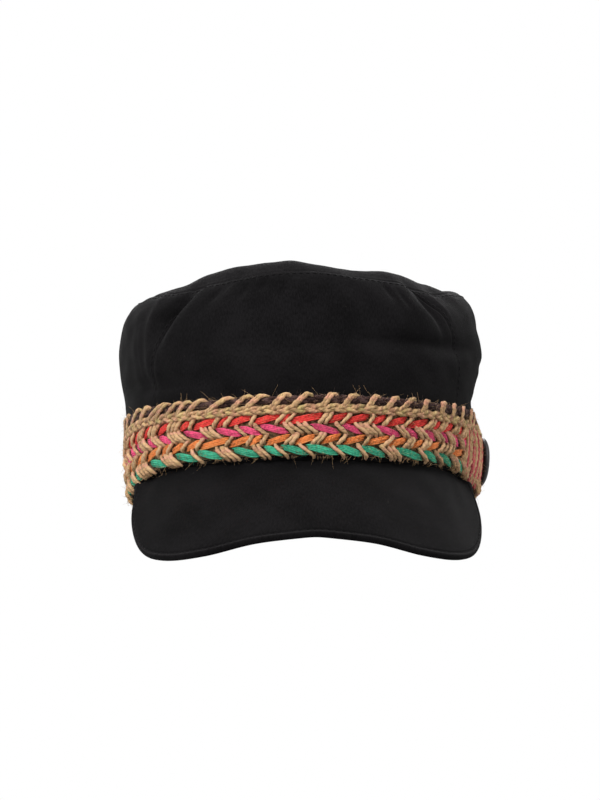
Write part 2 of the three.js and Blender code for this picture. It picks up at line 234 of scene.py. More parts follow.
# Band: rows from its foot up. lean is +1 where stitches rise to the right and -1 where they fall,
# drift how far a jute strand leans on its way up, and the chart gives the coloured stitches, in degrees
BAND_HEIGHT = 38.0
ROUND = 1.606
Row = namedtuple("Row", "name low high lean drift chart")
BAND_ROWS = (
    Row("green", 0.0, 7.3, -1, 3.0, (
        (-71.5, -68.5), (-59.5, -52), (-46, -38.5), (-37, -29), (-24, -17), (-14, -10), (-8.5, -2),
        (-1, 7), (8.5, 15), (16.5, 23), (28.5, 37.5), (39.5, 44.5), (47, 53.5), (58, 61.5), (65.5, 70))),
    Row("orange", 7.3, 13.5, 1, 1.9, (
        (-61, -55), (-52.5, -49.5), (-47.5, -42.5), (-41, -36.5), (-35.5, -27), (-25, -19.5), (-18.5, -16),
        (-13.5, -7.5), (-4.5, 0.5), (3.5, 8), (10.5, 16), (18, 24), (25, 30.5), (34, 37.5), (40.5, 45.5),
        (54, 61))),
    Row("magenta", 13.5, 20.0, -1, 2.8, (
        (-87, -83), (-80.5, -77), (-75, -70.5), (-68, -64.5), (-60, -56), (-53, -48), (-41.5, -34),
        (-29.5, -22.5), (-21.5, -16.5), (-15, -8), (0.5, 7.5), (10, 14.5), (21, 28), (31.5, 35), (39, 43),
        (46.5, 50))),
    Row("red", 20.0, 26.3, 1, 1.9, (
        (-87.5, -84), (-81.5, -78), (-75.5, -72), (-69.5, -65.5), (-62, -58.5), (-53.5, -48.5),
        (-43, -39.5), (-37.5, -30.5), (-29, -26.5), (-25, -19), (-17, -10), (-9, -7), (-6, 2.5), (5.5, 10),
        (10.5, 17), (19, 22.5), (24.5, 30), (32, 39), (42, 45), (48, 52), (56, 58.5))),
)
ROW_SEED = 31
STRAND_SEEDS = Sizes(low=41, high=42)

# Stitches carried on round the back: their pitch, the share of it that they fill, and how uneven they are
EVEN = Sizes(pitch=8.4, fill=0.62, shift=0.5, narrower=1.0, wider=0.6)

# Coloured stitches, whose strands draw together at their ends by the taper of their lean
YARN = Sizes(strands=4, rings=10, spread=0.62, reach=0.8, jitter=0.35, wander=0.25, overlap=0.9,
             stagger=0.45, fullness=1.02, taper={1: 0.12, -1: 0.42}, taper_power=0.8, lift=0.75, arch=1.25,
             fall=0.09, uneven=0.12, arch_power=0.45, radius=0.57, radius_power=0.22, stitch_tint=0.7,
             strand_tint=0.5)

# Jute strands between the stitches. They are tucked in and thinner where they come out of the row below,
# and those of the lowest row go on over the band's edge
JUTE = Sizes(pitch=2.7, most=4, rings=9, foot=0.6, edge=0.9, head=0.8, drift=0.6, jitter=0.3, lift=0.9,
             arch=(1.6, 2.1), arch_power=0.5, tuck=0.8, tucked=(-1.6, 1.2), radius=(0.9, 1.22), ripple=0.07,
             ripple_turn=9, thinner=0.3, tint=(-0.7, 1.3))
BLUNT_END = 0.03

# Woven ground under the rows: a ribbon with a waffle of knots, darkened well below the strands' jute as
# painted shade in the gaps between them
GROUND = Sizes(foot=0.5, top=35.5, rise=0.9, edge=(-0.1, 0.7), knots=0.1, knot_turn=2.1, columns=360,
               step=1.4, tint=-0.6, shade=0.28)

# Three strands laid round the cap: spacing of their rings, length of a turn, the heights that they lie
# between and their slow wander, how far they swing up and down and from which share of a turn, their lift
# off the cloth and its rise and beats in a turn, their radius and its waves, which each strand has later
# than the last by the lag, and their tints
Braid = namedtuple(
    "Braid", "name step lay low high wander swing start lift rise beats radius swell lag tints")
CORD_LOW = 31.8
CORD_HIGH = 37.2
PLAIT_LOW = 26.2
BROWN_CORD = Braid("brown_cord", 1.0, 15.0, CORD_LOW, CORD_HIGH, (Wave(0.25, 17), Wave(0.15, 7.1)),
                   1.25, 0.25, 1.75, 0.65, 1, 1.4, Wave(0.1, 3.1), 2, (-0.6, 0, 0.6))
JUTE_PLAIT = Braid("jute_plait", 0.8, 19.0, PLAIT_LOW, CORD_LOW, (Wave(0.35, 21), Wave(0.2, 8.3)),
                   1.7, 0, 2.1, 0.65, 2, 1.28, Wave(0.08, 2.7), 1, (-0.9, -0.5, 0.1))

# Hooks over the cord, as the azimuths of their foot and their crest, and their bends: the share of the
# way from foot to crest, then mm past it, up the band and off the cloth
HOOK_CHART = ((-72, -64), (-63.5, -58), (-57.5, -50), (-53.5, -48), (-48.5, -43.5), (-43.5, -39.5),
              (-39.5, -34.5), (-32, -25.5), (-24, -19.5), (-19.5, -15), (-11.5, -8), (-5.5, -1.5), (3, 5.5),
              (9.5, 12), (17, 19), (23, 25.5), (28, 31.5), (36.5, 37.5), (44.5, 45), (51, 51), (57, 57.5))
Bend = namedtuple("Bend", "share past up off")
HOOK_BENDS = (
    Bend(-0.2, -0.4, 28.2, 0.8),
    Bend(0, 0, 30.4, 2.7),
    Bend(0.35, -0.1, 33.0, 3.35),
    Bend(0.75, -0.2, 35.6, 3.45),
    Bend(1, -0.2, 37.1, 3.2),
    Bend(1, 1.2, 37.5, 2.8),
    Bend(1, 2.7, 36.8, 1.6),
)
HOOK = Sizes(pitch=6.4, shift=0.8, lean=2.5, uneven=1, apart=0.75, closer=(0.6, 1.1), jitter=0.3,
             curl_before=0.4, curl_end=2.0, rings=20, radius=(0.85, 1.15), tint=(-1.1, 0.5), seed=77)

# Where the soft cloth lets the cord sink in, as the share of the rise that is lost there
SINKS = (
    Fold("left end of the cord", -88, 36, 24, 9, 0, 0.62),
    Fold("right end of the cord", 84, 37, 20, 11, 0, 0.72),
)

# Lap of the band, the upright strands of its finished end with their azimuths, and its two tails
LAP = Sizes(azimuth=93.0, half_arc=17.0, edge_arc=5.0, thickness=2.6, top=0.7, seed=12)
Uprights = namedtuple("Uprights", "azimuths radius lift tint")
LAP_JUTE = Uprights((62.5, 65.5, 67.4, 70.2, 71.8, 73.6, 75.6, 77.4, 79.2), 1.05, 1.1, (-0.8, 0.9))
LAP_YARN = Uprights((64.0, 66.6, 68.8, 71.0, 72.8, 74.7, 76.6, 78.4, 80.4), 0.8, 1.6, (-1, 1))
UPRIGHT = Sizes(rings=26, wave=(0.3, 0.9), beats=(3, 7), bow=2.2, foot=(-1.4, 0.4), head=(30, 34),
                arch=(1.0, 1.7), arch_power=0.3, blunt=0.02)
Knot = namedtuple("Knot", "round up off")
TAILS = (
    (Knot(119, 4, 2), Knot(121, 1, 2.8), Knot(124, -1.3, 3.2), Knot(128, -1.9, 2.6), Knot(131, 0.3, 2)),
    (Knot(123, 4.5, 2.4), Knot(126, 1.5, 3.4), Knot(129.5, -0.1, 3.4), Knot(133, 0.9, 2.8),
     Knot(134, 2.9, 2)),
)
TAIL_RADIUS = 1.15
LAP_WOOL = "#d05a62"

# Loose fibres: how they bend and thin out, how they stand away, turned up or down near the band's edges,
# and where they are. share is of the fuzz count and reach of the fuzz length
FIBRE = Sizes(rings=4, bend=0.75, shortest=0.45, tip=0.45, floor=0.3, root=(1.8, 3.6), radius=0.062)
Away = namedtuple("Away", "round up off spread")
FUZZ_AWAY = Away(1.0, 0.9, 0.35, 0.4)
FUZZ_EDGE = Sizes(top_zone=5, top=1.0, foot_zone=3, foot=0.8)
Fuzz = namedtuple("Fuzz", "name finish share low high reach seed")
FUZZES = (
    Fuzz("jute_fuzz", "jute_fibre", 3 / 4, 2, CORD_LOW, 0.6, 51),
    Fuzz("jute_fuzz_top", "jute_fibre", 1 / 7, CORD_LOW, CORD_HIGH, 1, 52),
    Fuzz("jute_fuzz_foot", "jute_fibre", 1 / 9, -0.5, 1.5, 0.8, 53),
    Fuzz("brown_fuzz", "brown_fibre", 1 / 4, CORD_LOW, CORD_HIGH, 0.7, 54),
)
YARN_AWAY = Away(1, 0.6, 0.3, 0.3)
YARN_FUZZ = Sizes(count=1250, length=1.8, radius=0.05, bare_rings=2)

# Button: its outline from the middle of its back to the middle of its face, as a share of its radius and
# a height
Place = namedtuple("Place", "name reach height")
BUTTON = Sizes(radius=12.5, run=23.0, azimuth=93.0, rest=6.3, rings=70, spokes=72)
BUTTON_OUTLINE = (
    Place("back middle", 0, 0),
    Place("back edge", 0.91, 0),
    Place("side, low", 1, 0.9),
    Place("side, high", 1, 1.7),
    Place("shoulder", 0.9, 3.0),
    Place("crest of the face", 0.66, 4.2),
    Place("edge of the dish", 0.4, 3.9),
    Place("face middle", 0, 3.9),
)

# Finishes of strands: the tones of their hollows and crests against their own colour, which are painted shade
# and painted highlight, with a little bleach that whitens the crests, how fine and how drawn out their fibres
# are, their relief and sheen, and how far their hue drifts
Finish = namedtuple("Finish", "dark pale bleach fineness stretch relief sheen drift")
FINISHES = {
    "black_thread": Finish(0.7, 1.2, 0, 4.5, 0.13, 0.1, 0.03, 0),
    "jute_ground": Finish(0.3, 1.6, 0, 1.6, 0.3, 0.5, 0.12, 0),
    "jute_strand": Finish(0.48, 1.08, 0.045, 4.5, 0.13, 0.5, 0.12, 0.032),
    "brown_strand": Finish(0.25, 2.1, 0.02, 2.4, 0.13, 0.5, 0.05, 0),
    "lap_wool": Finish(0.6, 1.25, 0.01, 2.6, 0.4, 0.5, 0.03, 0),
    "row_wool": Finish(0.55, 1.3, 0.01, 2.6, 0.4, 0.6, 0.03, 0),
    "jute_fibre": Finish(0.8, 1.7, 0.02, 4.5, 0.13, 0.5, 0.12, 0),
    "brown_fibre": Finish(0.8, 3.0, 0.02, 4.5, 0.13, 0.5, 0.12, 0),
}
# Levels of the streaks at which a strand takes its dark tone (painted shade), its own colour and its pale
# tone (painted highlight), with its blotches, tint, bump and gloss
STRAND = Sizes(blotch=0.17, dark=0.34, middle=0.5, pale=0.68, tint=0.1, bump=0.8, specular=0.1, sheen=0.5)

# Twill: shares of its ribs, cross threads and noise in the relief, tones of the cloth, and its gloss
TWILL = Sizes(ribs=0.35, crossing=0.12, cross_pitch=0.55, noise=0.8, deep=0.62, washed=1.5, grain=900.0,
              lint=0.35, lint_colour="#6b6660", bump=0.35, relief=0.25)
TWILL_GLOSS = {"Specular IOR Level": 0.05, "Sheen Weight": 0.025, "Sheen Roughness": 0.45}
HORN = Sizes(pale=2.4, swirl=120.0, distortion=1.4, scratch=900.0, bump=0.15, relief=0.1)
HORN_GLOSS = {"Specular IOR Level": 0.2, "Coat Weight": 0.05, "Coat Roughness": 0.25}

# Stage, with its lamps in metres and watts
STAGE_SIZE = 40.0
FLOOR_DROP = 0.0004
FLOOR_BOUNCE = 0.28
ROOM_LIGHT = 0.4
LENS = 98.4
AIM_HEIGHT = 68.65
Lamp = namedtuple("Lamp", "name place size power")
LAMPS = (
    Lamp("key", (-0.8, -1.4, 1.4), 0.9, 45),
    Lamp("fill", (1.65, 0.4, 0.65), 1.2, 12),
    Lamp("top", (-0.1, 0.2, 1.8), 1.2, 22),
    Lamp("back", (0.1, 1.7, 1.3), 1.2, 36),
)


def linear(code):
    """The linear colour of an sRGB hex code."""
    parts = [int(code[i:i + 2], 16) / 255 for i in (1, 3, 5)]
    return tuple(c / 12.92 if c <= 0.04045 else ((c + 0.055) / 1.055) ** 2.4 for c in parts)


def smooth(value, low, high):
    """0 below low, 1 above high, and a smooth step between them."""
    t = np.clip((value - low) / (high - low), 0, 1)
    return t * t * (3 - 2 * t)


def bell(value, width):
    """Bell curve: 1 at 0, and falling as e to the power of minus the square of value over width."""
    return np.exp(-((value / width) ** 2))


def bumps(distance, shapes):
    """Sum of bell curves, each with its height, place and width."""
    return sum(bump.height * bell(distance - bump.place, bump.width) for bump in shapes)


def waves(place, shapes):
    """Sum of sine waves, each with its height and the length of one radian of it."""
    return sum(wave.height * np.sin(place / wave.length) for wave in shapes)


def half_wave(t, blunt):
    """Half a sine wave along a strand, from share 0 to 1 of its length, that stays over 0 at its ends."""
    return np.sin(np.pi * np.clip(t, blunt, 1 - blunt))


def either_way(random, most, size):
    """Chance numbers between minus most and most."""
    return random.uniform(-most, most, size)


def unit(vectors):
    """Vectors over their lengths."""
    return vectors / np.maximum(np.linalg.norm(vectors, axis=-1, keepdims=True), 1e-9)


def along(keys, columns, place):
    """Columns of a table at places along its keys: a cubic through each pair of rows, whose slope at a
    row is that of the line from the row before it to the row after it."""
    last = len(keys) - 1
    row = np.arange(last + 1)
    before, after = np.maximum(row - 1, 0), np.minimum(row + 1, last)
    slopes = (columns[after] - columns[before]) / (keys[after] - keys[before])[:, None]
    place = np.asarray(place, float)
    i = np.clip(np.searchsorted(keys, place) - 1, 0, last - 1)
    width = (keys[i + 1] - keys[i])[..., None]
    t = (place[..., None] - keys[i][..., None]) / width
    rise = t * t * (3 - 2 * t)
    bend = slopes[i] * t * (1 - t) ** 2 + slopes[i + 1] * t * t * (t - 1)
    return columns[i] * (1 - rise) + columns[i + 1] * rise + width * bend


def crown_columns():
    """The crown's table as an array: wide, front, back, and the cosine terms of each line's heights. The
    terms are those of the sum of cosines that passes through all seven heights."""
    heights = np.array([line.heights for line in CROWN_LINES], float)
    order = np.arange(heights.shape[1])
    ends = (order == 0) | (order == order[-1])
    cosines = np.cos(np.pi * np.outer(order, order) / order[-1])
    terms = (heights * np.where(ends, 0.5, 1)) @ cosines * np.where(ends, 1, 2) / order[-1]
    spans = np.array([(line.wide, line.front, line.back) for line in CROWN_LINES], float)
    return np.hstack((spans, terms))


CROWN_RUNS = np.array([line.run for line in CROWN_LINES], float)
CROWN_COLUMNS = crown_columns()


def plain_crown(azimuth, run):
    """Crown without folds: half an ellipse in front and another behind, as wide and deep as the table
    says at that run, raised by the sum of cosines of its heights."""
    azimuth, run = np.broadcast_arrays(np.asarray(azimuth, float), np.asarray(run, float))
    row = along(CROWN_RUNS, CROWN_COLUMNS, run)
    wide, front, back, terms = row[..., 0], row[..., 1], row[..., 2], row[..., 3:]
    angle = np.radians(azimuth)
    reach = np.where(np.cos(angle) > 0, front, back)
    height = (terms * np.cos(angle[..., None] * np.arange(terms.shape[-1]))).sum(-1)
    return np.stack((wide * np.sin(angle), -reach * np.cos(angle), height), -1)


def crown_normal(azimuth, run):
    """Direction out of the crown: the way across crossed with the way up, taken over a short step."""
    azimuth, run = np.broadcast_arrays(np.asarray(azimuth, float), np.asarray(run, float))
    inside = np.clip(run, RIM, MIDDLE - WALL_STEP)
    across = plain_crown(azimuth + WALL_STEP, inside) - plain_crown(azimuth - WALL_STEP, inside)
    above = plain_crown(azimuth, np.minimum(inside + WALL_STEP, MIDDLE))
    upward = above - plain_crown(azimuth, np.maximum(inside - WALL_STEP, RIM))
    normal = unit(np.cross(across, upward))
    return np.where((run >= MIDDLE - WALL_STEP)[..., None], (0.0, 0.0, 1.0), normal)


def fold_height(azimuth, run, folds):
    """Sum of the folds: each is its depth times a bell curve over its arc and its run, slanted by lean."""
    total = np.zeros(np.broadcast(azimuth, run).shape)
    for fold in folds:
        arc = (azimuth - fold.azimuth - fold.lean * (run - fold.run)) / fold.half_arc
        rise = (run - fold.run) / fold.half_run
        total = total + fold.depth * np.exp(-arc * arc - rise * rise)
    return total


def crown(azimuth, run, outward=0.0):
    """Point of the crown with its folds, moved outward along the normal and pressed flat at the floor."""
    rise = fold_height(azimuth, run, FOLDS + NICKS) + outward
    point = plain_crown(azimuth, run) + crown_normal(azimuth, run) * np.asarray(rise)[..., None]
    point[..., 2] = np.maximum(point[..., 2], 0)
    return point


def crown_axis():
    """Where the crown's axis stands in the frame, from the box of the top panel."""
    rim = crown(np.arange(-180, 180, SOLID_ARC), SEAM + PIECE_GAP / 2)
    low = np.array(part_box("crown_top_panel")[0][:2]) / MM
    return np.append(low - rim.min(0)[:2], 0)


AXIS = crown_axis()


def side_seam(run):
    """Azimuth of the side seams: level at the foot, and leaning in by a power of the run."""
    return SEAM_FOOT - SEAM_LEAN * (np.clip(run, RIM, SEAM) / SEAM) ** SEAM_LEAN_POWER


def seam_relief(distance, place):
    """Relief beside a seam: a bell-shaped drop at the seam, a low ridge over the turned edges, a furrow
    under the topstitch, and puckers that fade with the distance."""
    drop = -SEAM_DROP.depth * bell(distance, SEAM_DROP.width)
    ridge = RIDGE.height * smooth(distance, RIDGE.foot, RIDGE.crest)
    ridge = ridge * (1 - smooth(distance, RIDGE.shoulder, RIDGE.end))
    furrow = -FURROW.depth * bell(distance - FURROW.inset, FURROW.width)
    wave = np.sin(2 * np.pi * place / PUCKER.length + waves(place, PUCKER_WANDER))
    fade = np.exp(-distance / PUCKER.reach) * smooth(distance, PUCKER.foot, PUCKER.crest)
    return drop + ridge + furrow + PUCKER.depth * wave * fade


def slack_relief(azimuth, run, seed, height):
    """Slack of soft cloth: a sum of slanted sine waves, whole in number round the crown."""
    random = np.random.default_rng(seed)
    total = np.zeros(np.broadcast(azimuth, run).shape)
    for _ in range(SLACK.count):
        turns = random.integers(*SLACK.turns)
        climb = 2 * np.pi / random.uniform(*SLACK.lengths) * random.choice((-1, 1))
        phase = random.uniform(0, 2 * np.pi)
        total = total + np.sin(np.radians(azimuth) * turns + run * climb + phase)
    return height * total / np.sqrt(SLACK.count)


def seam_distances(azimuth, run):
    """Distances, in mm, to the top seam, the nearer side seam and the back seam; far where none runs."""
    far = np.where(run > SEAM, FAR_OFF, 0)
    top = np.abs(run - SEAM)
    side = np.abs(np.abs(azimuth) - side_seam(run)) * ROUND + far
    back = (180 - np.abs(azimuth)) * ROUND + far
    return top, side, back


def cloth_relief(azimuth, run):
    """Everything finer than the folds on the crown's outside: creases, slack and seams."""
    top, side, back = seam_distances(azimuth, run)
    relief = fold_height(azimuth, run, CREASES) + slack_relief(azimuth, run, SLACK.seed, SLACK.height)
    corners = bell(np.abs(azimuth) - CORNER.azimuth, CORNER.half_arc)
    relief = relief + seam_relief(top, azimuth * ROUND) * (SEAM_SHARE.top + SEAM_SHARE.corners * corners)
    share = SEAM_SHARE.low + SEAM_SHARE.rise * smooth(run, *SEAM_SHARE.upper)
    share = share * np.where(azimuth > 0, SEAM_SHARE.right, SEAM_SHARE.left)
    upright = seam_relief(side, run) + seam_relief(back, run + PUCKER.back_shift)
    return relief + np.where(run > SEAM, 0, upright * share)


def wear_and_highlight_mask(azimuth, run):
    """Where the twill is painted paler: dye rubbed off beside the seams, lighter on the crests of folds and
    creases, and a painted highlight on the roll of the top, which faces the light.
    """
    top, side, back = seam_distances(azimuth, run)
    seams = bell(np.minimum(np.minimum(top, side), back) - WORN_AND_HIGHLIT.inset, WORN_AND_HIGHLIT.width)
    # Lighter on the crests of folds and of the raised creases
    crests = np.clip(fold_height(azimuth, run, FOLDS) / WORN_AND_HIGHLIT.crest, 0, 1)
    threads = np.clip(fold_height(azimuth, run, CREASES) / WORN_AND_HIGHLIT.thread, 0, 1)
    # Painted highlight along the roll of the top, which faces the lamps
    roll = bell(run - WORN_AND_HIGHLIT.roll, WORN_AND_HIGHLIT.roll_width)
    folded = WORN_AND_HIGHLIT_SHARE.crests * crests + WORN_AND_HIGHLIT_SHARE.threads * threads
    return np.clip(WORN_AND_HIGHLIT_SHARE.seams * seams + folded + WORN_AND_HIGHLIT_SHARE.roll * roll, 0, 1)


# Mesh helpers

def spaced(length, step, near=NEAR_EDGE):
    """Places from 0 to length: close together near both ends, and about step apart between them."""
    near = np.array(near)
    middle = np.linspace(near[-1], length - near[-1], max(int(length / step), 2))
    return np.concatenate((near[:-1], middle, length - near[-2::-1]))


def both_faces(outer, inner):
    """Loops of values that go over the outer face of a wall and come back along its inner one."""
    return np.concatenate((outer, inner[:, ::-1]), 1)


def loft_faces(points, ringed):
    """Quads of a body lofted through sections, each a loop of points. Unless it is a ring, its two ends
    are closed by ladders of quads from one side of the loop to the other."""
    sections, size = points.shape[:2]

    def at(i, k):
        return (i % sections) * size + (k % size)

    i, k = np.meshgrid(np.arange(sections if ringed else sections - 1), np.arange(size), indexing="ij")
    quads = np.stack((at(i, k), at(i + 1, k), at(i + 1, k + 1), at(i, k + 1)), -1).reshape(-1, 4)
    if ringed:
        return [quads]
    k = np.arange(size // 2 - 1)
    back = size - 1 - k
    end = sections - 1
    first = np.stack((at(0, k), at(0, k + 1), at(0, back - 1), at(0, back)), -1)
    final = np.stack((at(end, k), at(end, back), at(end, back - 1), at(end, k + 1)), -1)
    return [np.concatenate((quads, first, final))]


def tube_faces(points):
    """Quads round each tube of an array of (tube, ring, side), and a many-sided face over each end."""
    count, rings, sides = points.shape[:3]
    start = np.arange(count)[:, None, None] * rings * sides
    i = np.arange(rings - 1)[None, :, None] * sides
    k = np.arange(sides)[None, None, :]
    following = (k + 1) % sides
    corners = np.broadcast_arrays(start + i + k, start + i + sides + k,
                                  start + i + sides + following, start + i + following)
    quads = np.stack(corners, -1).reshape(-1, 4)
    first = start[:, 0] + np.arange(sides)
    final = start[:, 0] + (rings - 1) * sides + np.arange(sides)[::-1]
    return [quads, np.concatenate((first, final))]


def tubes(paths, radius, twist, up=(0.0, 0.0, 1.0), turn=0.0):
    """Tubes along paths, an array of (tube, ring, point). Each ring is an ellipse round the path, radius
    wide and as high as the twist says, with lobes for its plies that turn once every lay. Also gives, for
    each point, where it lies on the strand: the cosine and sine of its angle in the twisted yarn and its
    length along it."""
    ahead = unit(np.gradient(paths, axis=1))
    side = unit(np.cross(ahead, np.broadcast_to(up, paths.shape)))
    lift = np.cross(side, ahead)
    steps = np.linalg.norm(np.diff(paths, axis=1), axis=-1)
    length = np.concatenate((np.zeros((len(paths), 1)), steps.cumsum(1)), 1)[..., None]
    angle = 2 * np.pi * np.arange(twist.sides) / twist.sides
    twisted = angle - 2 * np.pi * length / twist.lay + np.asarray(turn).reshape(-1, 1, 1)
    lobes = 1 + twist.groove * np.cos(twist.plies * twisted)
    radius = np.broadcast_to(np.asarray(radius, float), length.shape[:2])[..., None]
    wide = (radius * np.cos(angle) * lobes)[..., None] * side[:, :, None]
    high = (radius * twist.flat * np.sin(angle) * lobes)[..., None] * lift[:, :, None]
    points = paths[:, :, None] + wide + high
    fibre = np.stack((np.cos(twisted), np.sin(twisted), np.broadcast_to(length, twisted.shape)), -1)
    return points, fibre


def joined(parts):
    """Several lots of tubes as one: their points, and the places of these on their strands."""
    points, fibre = zip(*parts)
    return np.concatenate(points), np.concatenate(fibre)


def curves(knots, rings):
    """Smooth paths through knots, an array of (path, knot, point), with rings points each."""
    count, size, _ = knots.shape
    columns = knots.transpose(1, 0, 2).reshape(size, -1)
    places = np.linspace(0, size - 1, rings)
    return along(np.arange(size, dtype=float), columns, places).reshape(rings, count, 3).transpose(1, 0, 2)


def make_piece(name, points, faces, material, node, fields=None, cloth=None, weld=False):
    """One mesh piece from points in mm round the crown's axis. fields are its point attributes by name,
    and cloth the place of each point on the flat cloth, in mm, kept as its UV map."""
    mesh = bpy.data.meshes.new(name)
    places = ((points.reshape(-1, 3) + AXIS) * MM).astype(np.float32)
    corners = np.concatenate([part.ravel() for part in faces]).astype(np.int32)
    sizes = np.concatenate([np.full(len(part), part.shape[1]) for part in faces])
    mesh.vertices.add(len(places))
    mesh.vertices.foreach_set("co", places.ravel())
    mesh.loops.add(len(corners))
    mesh.loops.foreach_set("vertex_index", corners)
    mesh.polygons.add(len(sizes))
    mesh.polygons.foreach_set("loop_start", np.concatenate(([0], sizes.cumsum()[:-1])).astype(np.int32))
    mesh.update(calc_edges=True)
    for field, values in (fields or {}).items():
        values = np.ascontiguousarray(values, np.float32)
        vector = values.size == 3 * len(places)
        attribute = mesh.attributes.new(field, "FLOAT_VECTOR" if vector else "FLOAT", "POINT")
        attribute.data.foreach_set("vector" if vector else "value", values.ravel())
    if cloth is not None:
        layer = mesh.uv_layers.new(name="cloth")
        layer.data.foreach_set("uv", cloth.reshape(-1, 2)[corners].astype(np.float32).ravel())
    if weld:
        work = bmesh.new()
        work.from_mesh(mesh)
        bmesh.ops.remove_doubles(work, verts=work.verts, dist=WELD * MM)
        work.to_mesh(mesh)
        work.free()
    mesh.validate()
    mesh.shade_smooth()
    mesh.materials.append(material)
    piece = bpy.data.objects.new(name, mesh)
    bpy.context.scene.collection.objects.link(piece)
    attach(piece, "root")
    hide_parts(node)
    return piece


# Crown

def make_panel(name, start_at, end_at, step, material):
    """Panel between two seams: the share of the way across and the run up give a grid of points on the
    crown, once outside with all relief and once inside, joined round the edges. Inside, the panels lap
    a little over each other, so that no light comes through the seams."""
    runs = spaced(SEAM - MIDDLE_GAP, step)
    width = ROUND * float(end_at(RIM) - start_at(RIM))
    shares = spaced(width, step)[:, None] / width
    starts, ends = start_at(runs), end_at(runs)
    azimuth = starts + (ends - starts) * shares
    run = np.broadcast_to(runs, azimuth.shape)
    hem = -0.5 * CLOTH * bell(run, HEM_ROLL)
    outside = crown(azimuth, run, cloth_relief(azimuth, run) + hem)
    lap = INNER_LAP * (bell((1 - shares) * width, 1) - bell(shares * width, 1)) / ROUND
    above = INNER_LAP * bell(SEAM - run, 1)
    creases = CREASES_INSIDE * fold_height(azimuth, run, CREASES)
    points = both_faces(outside, crown(azimuth + lap, run + above, creases - hem - CLOTH))
    # Mask of rubbed dye and painted highlight, on the outer face only
    wear = wear_and_highlight_mask(azimuth, run)
    cloth = np.stack((azimuth * ROUND, run), -1)
    return make_piece(name.replace("crown", "twill"), points, loft_faces(points, False), material,
                      name, {"wear": both_faces(wear, 0 * wear)}, both_faces(cloth, cloth))


def make_top(step, material):
    """Top panel: rings of cloth from the seam to the middle, outside with relief and inside plain. Its
    place on the flat cloth is the one seen from above."""
    runs = MIDDLE - spaced(MIDDLE - SEAM - MIDDLE_GAP, step)[::-1]
    runs = np.append(runs[:-1], MIDDLE)
    turns = np.linspace(-180, 180, int(2 * np.pi * TOP_RADIUS / step), endpoint=False)
    azimuth, run = np.meshgrid(turns, runs, indexing="ij")
    calm = smooth(MIDDLE - run, *TOP_CALM)
    points = both_faces(crown(azimuth, run, cloth_relief(azimuth, run) * calm), crown(azimuth, run, -CLOTH))
    # Mask of rubbed dye and painted highlight, on the outer face only
    wear = wear_and_highlight_mask(azimuth, run)
    return make_piece("twill_top_panel", points, loft_faces(points, True), material,
                      "crown_top_panel", {"wear": both_faces(wear, 0 * wear)}, points[..., :2], weld=True)


# Peak

def peak_surface(side, out):
    """Upper face of the peak: from the root under the rim straight out to the edge, swollen between
    them by a sine, shifted and skewed to one side by the share of the way out. The edge's middle is
    eased, so that its halves meet without a corner."""
    side, out = np.broadcast_arrays(np.asarray(side, float), np.asarray(out, float))
    azimuth = side * PEAK.end
    root = crown(azimuth, RIM, -CLOTH)
    root[..., 2] = plain_crown(azimuth, RIM)[..., 2] - PIECE_GAP
    keys = np.array([row.share for row in PEAK_EDGE], float)
    columns = np.array([(row.x, row.y, row.z) for row in PEAK_EDGE], float)
    edge = along(keys, columns, np.abs(side))
    edge[..., 0] *= np.sign(side)
    blend = bell(side, 3 * PEAK.middle)
    eased = np.sqrt(side * side + PEAK.middle * PEAK.middle * blend) - PEAK.middle * blend
    edge[..., 1:] = along(keys, columns, np.clip(eased, 0, 1))[..., 1:]
    point = root + (edge - root) * out[..., None]
    point[..., 0] += PEAK.shift * out
    point[..., 1] -= PEAK.skew * side * (1 - side * side) * out
    point[..., 2] += PEAK.swell * np.sin(np.pi * out) * np.cos(np.pi / 2 * side ** 4)
    return point


def peak_normal(side, out):
    """Direction out of the upper face: the way across crossed with the way in, over a short step."""
    across = (peak_surface(np.minimum(side + PEAK.step, 1), out)
              - peak_surface(np.maximum(side - PEAK.step, -1), out))
    inward = (peak_surface(side, np.maximum(out - PEAK.step, 0))
              - peak_surface(side, np.minimum(out + PEAK.step, 1)))
    return unit(np.cross(across, inward))


def peak_depth(side):
    """Length of the peak from its root to its edge."""
    return np.linalg.norm(peak_surface(side, 1.0) - peak_surface(side, 0.0), axis=-1)


def peak_relief(distance):
    """Height of the peak's faces above their plain form, by the distance from the edge: a rounded edge,
    a rolled strip, and the groove that its topstitch draws."""
    half = PEAK.thickness / 2
    inset = np.clip(half - distance, 0, half)
    edge = -(half - np.sqrt(np.maximum(half * half - inset * inset, 0)))
    return edge + bumps(distance, PEAK_BUMPS) * smooth(distance, 0, PEAK.lip)


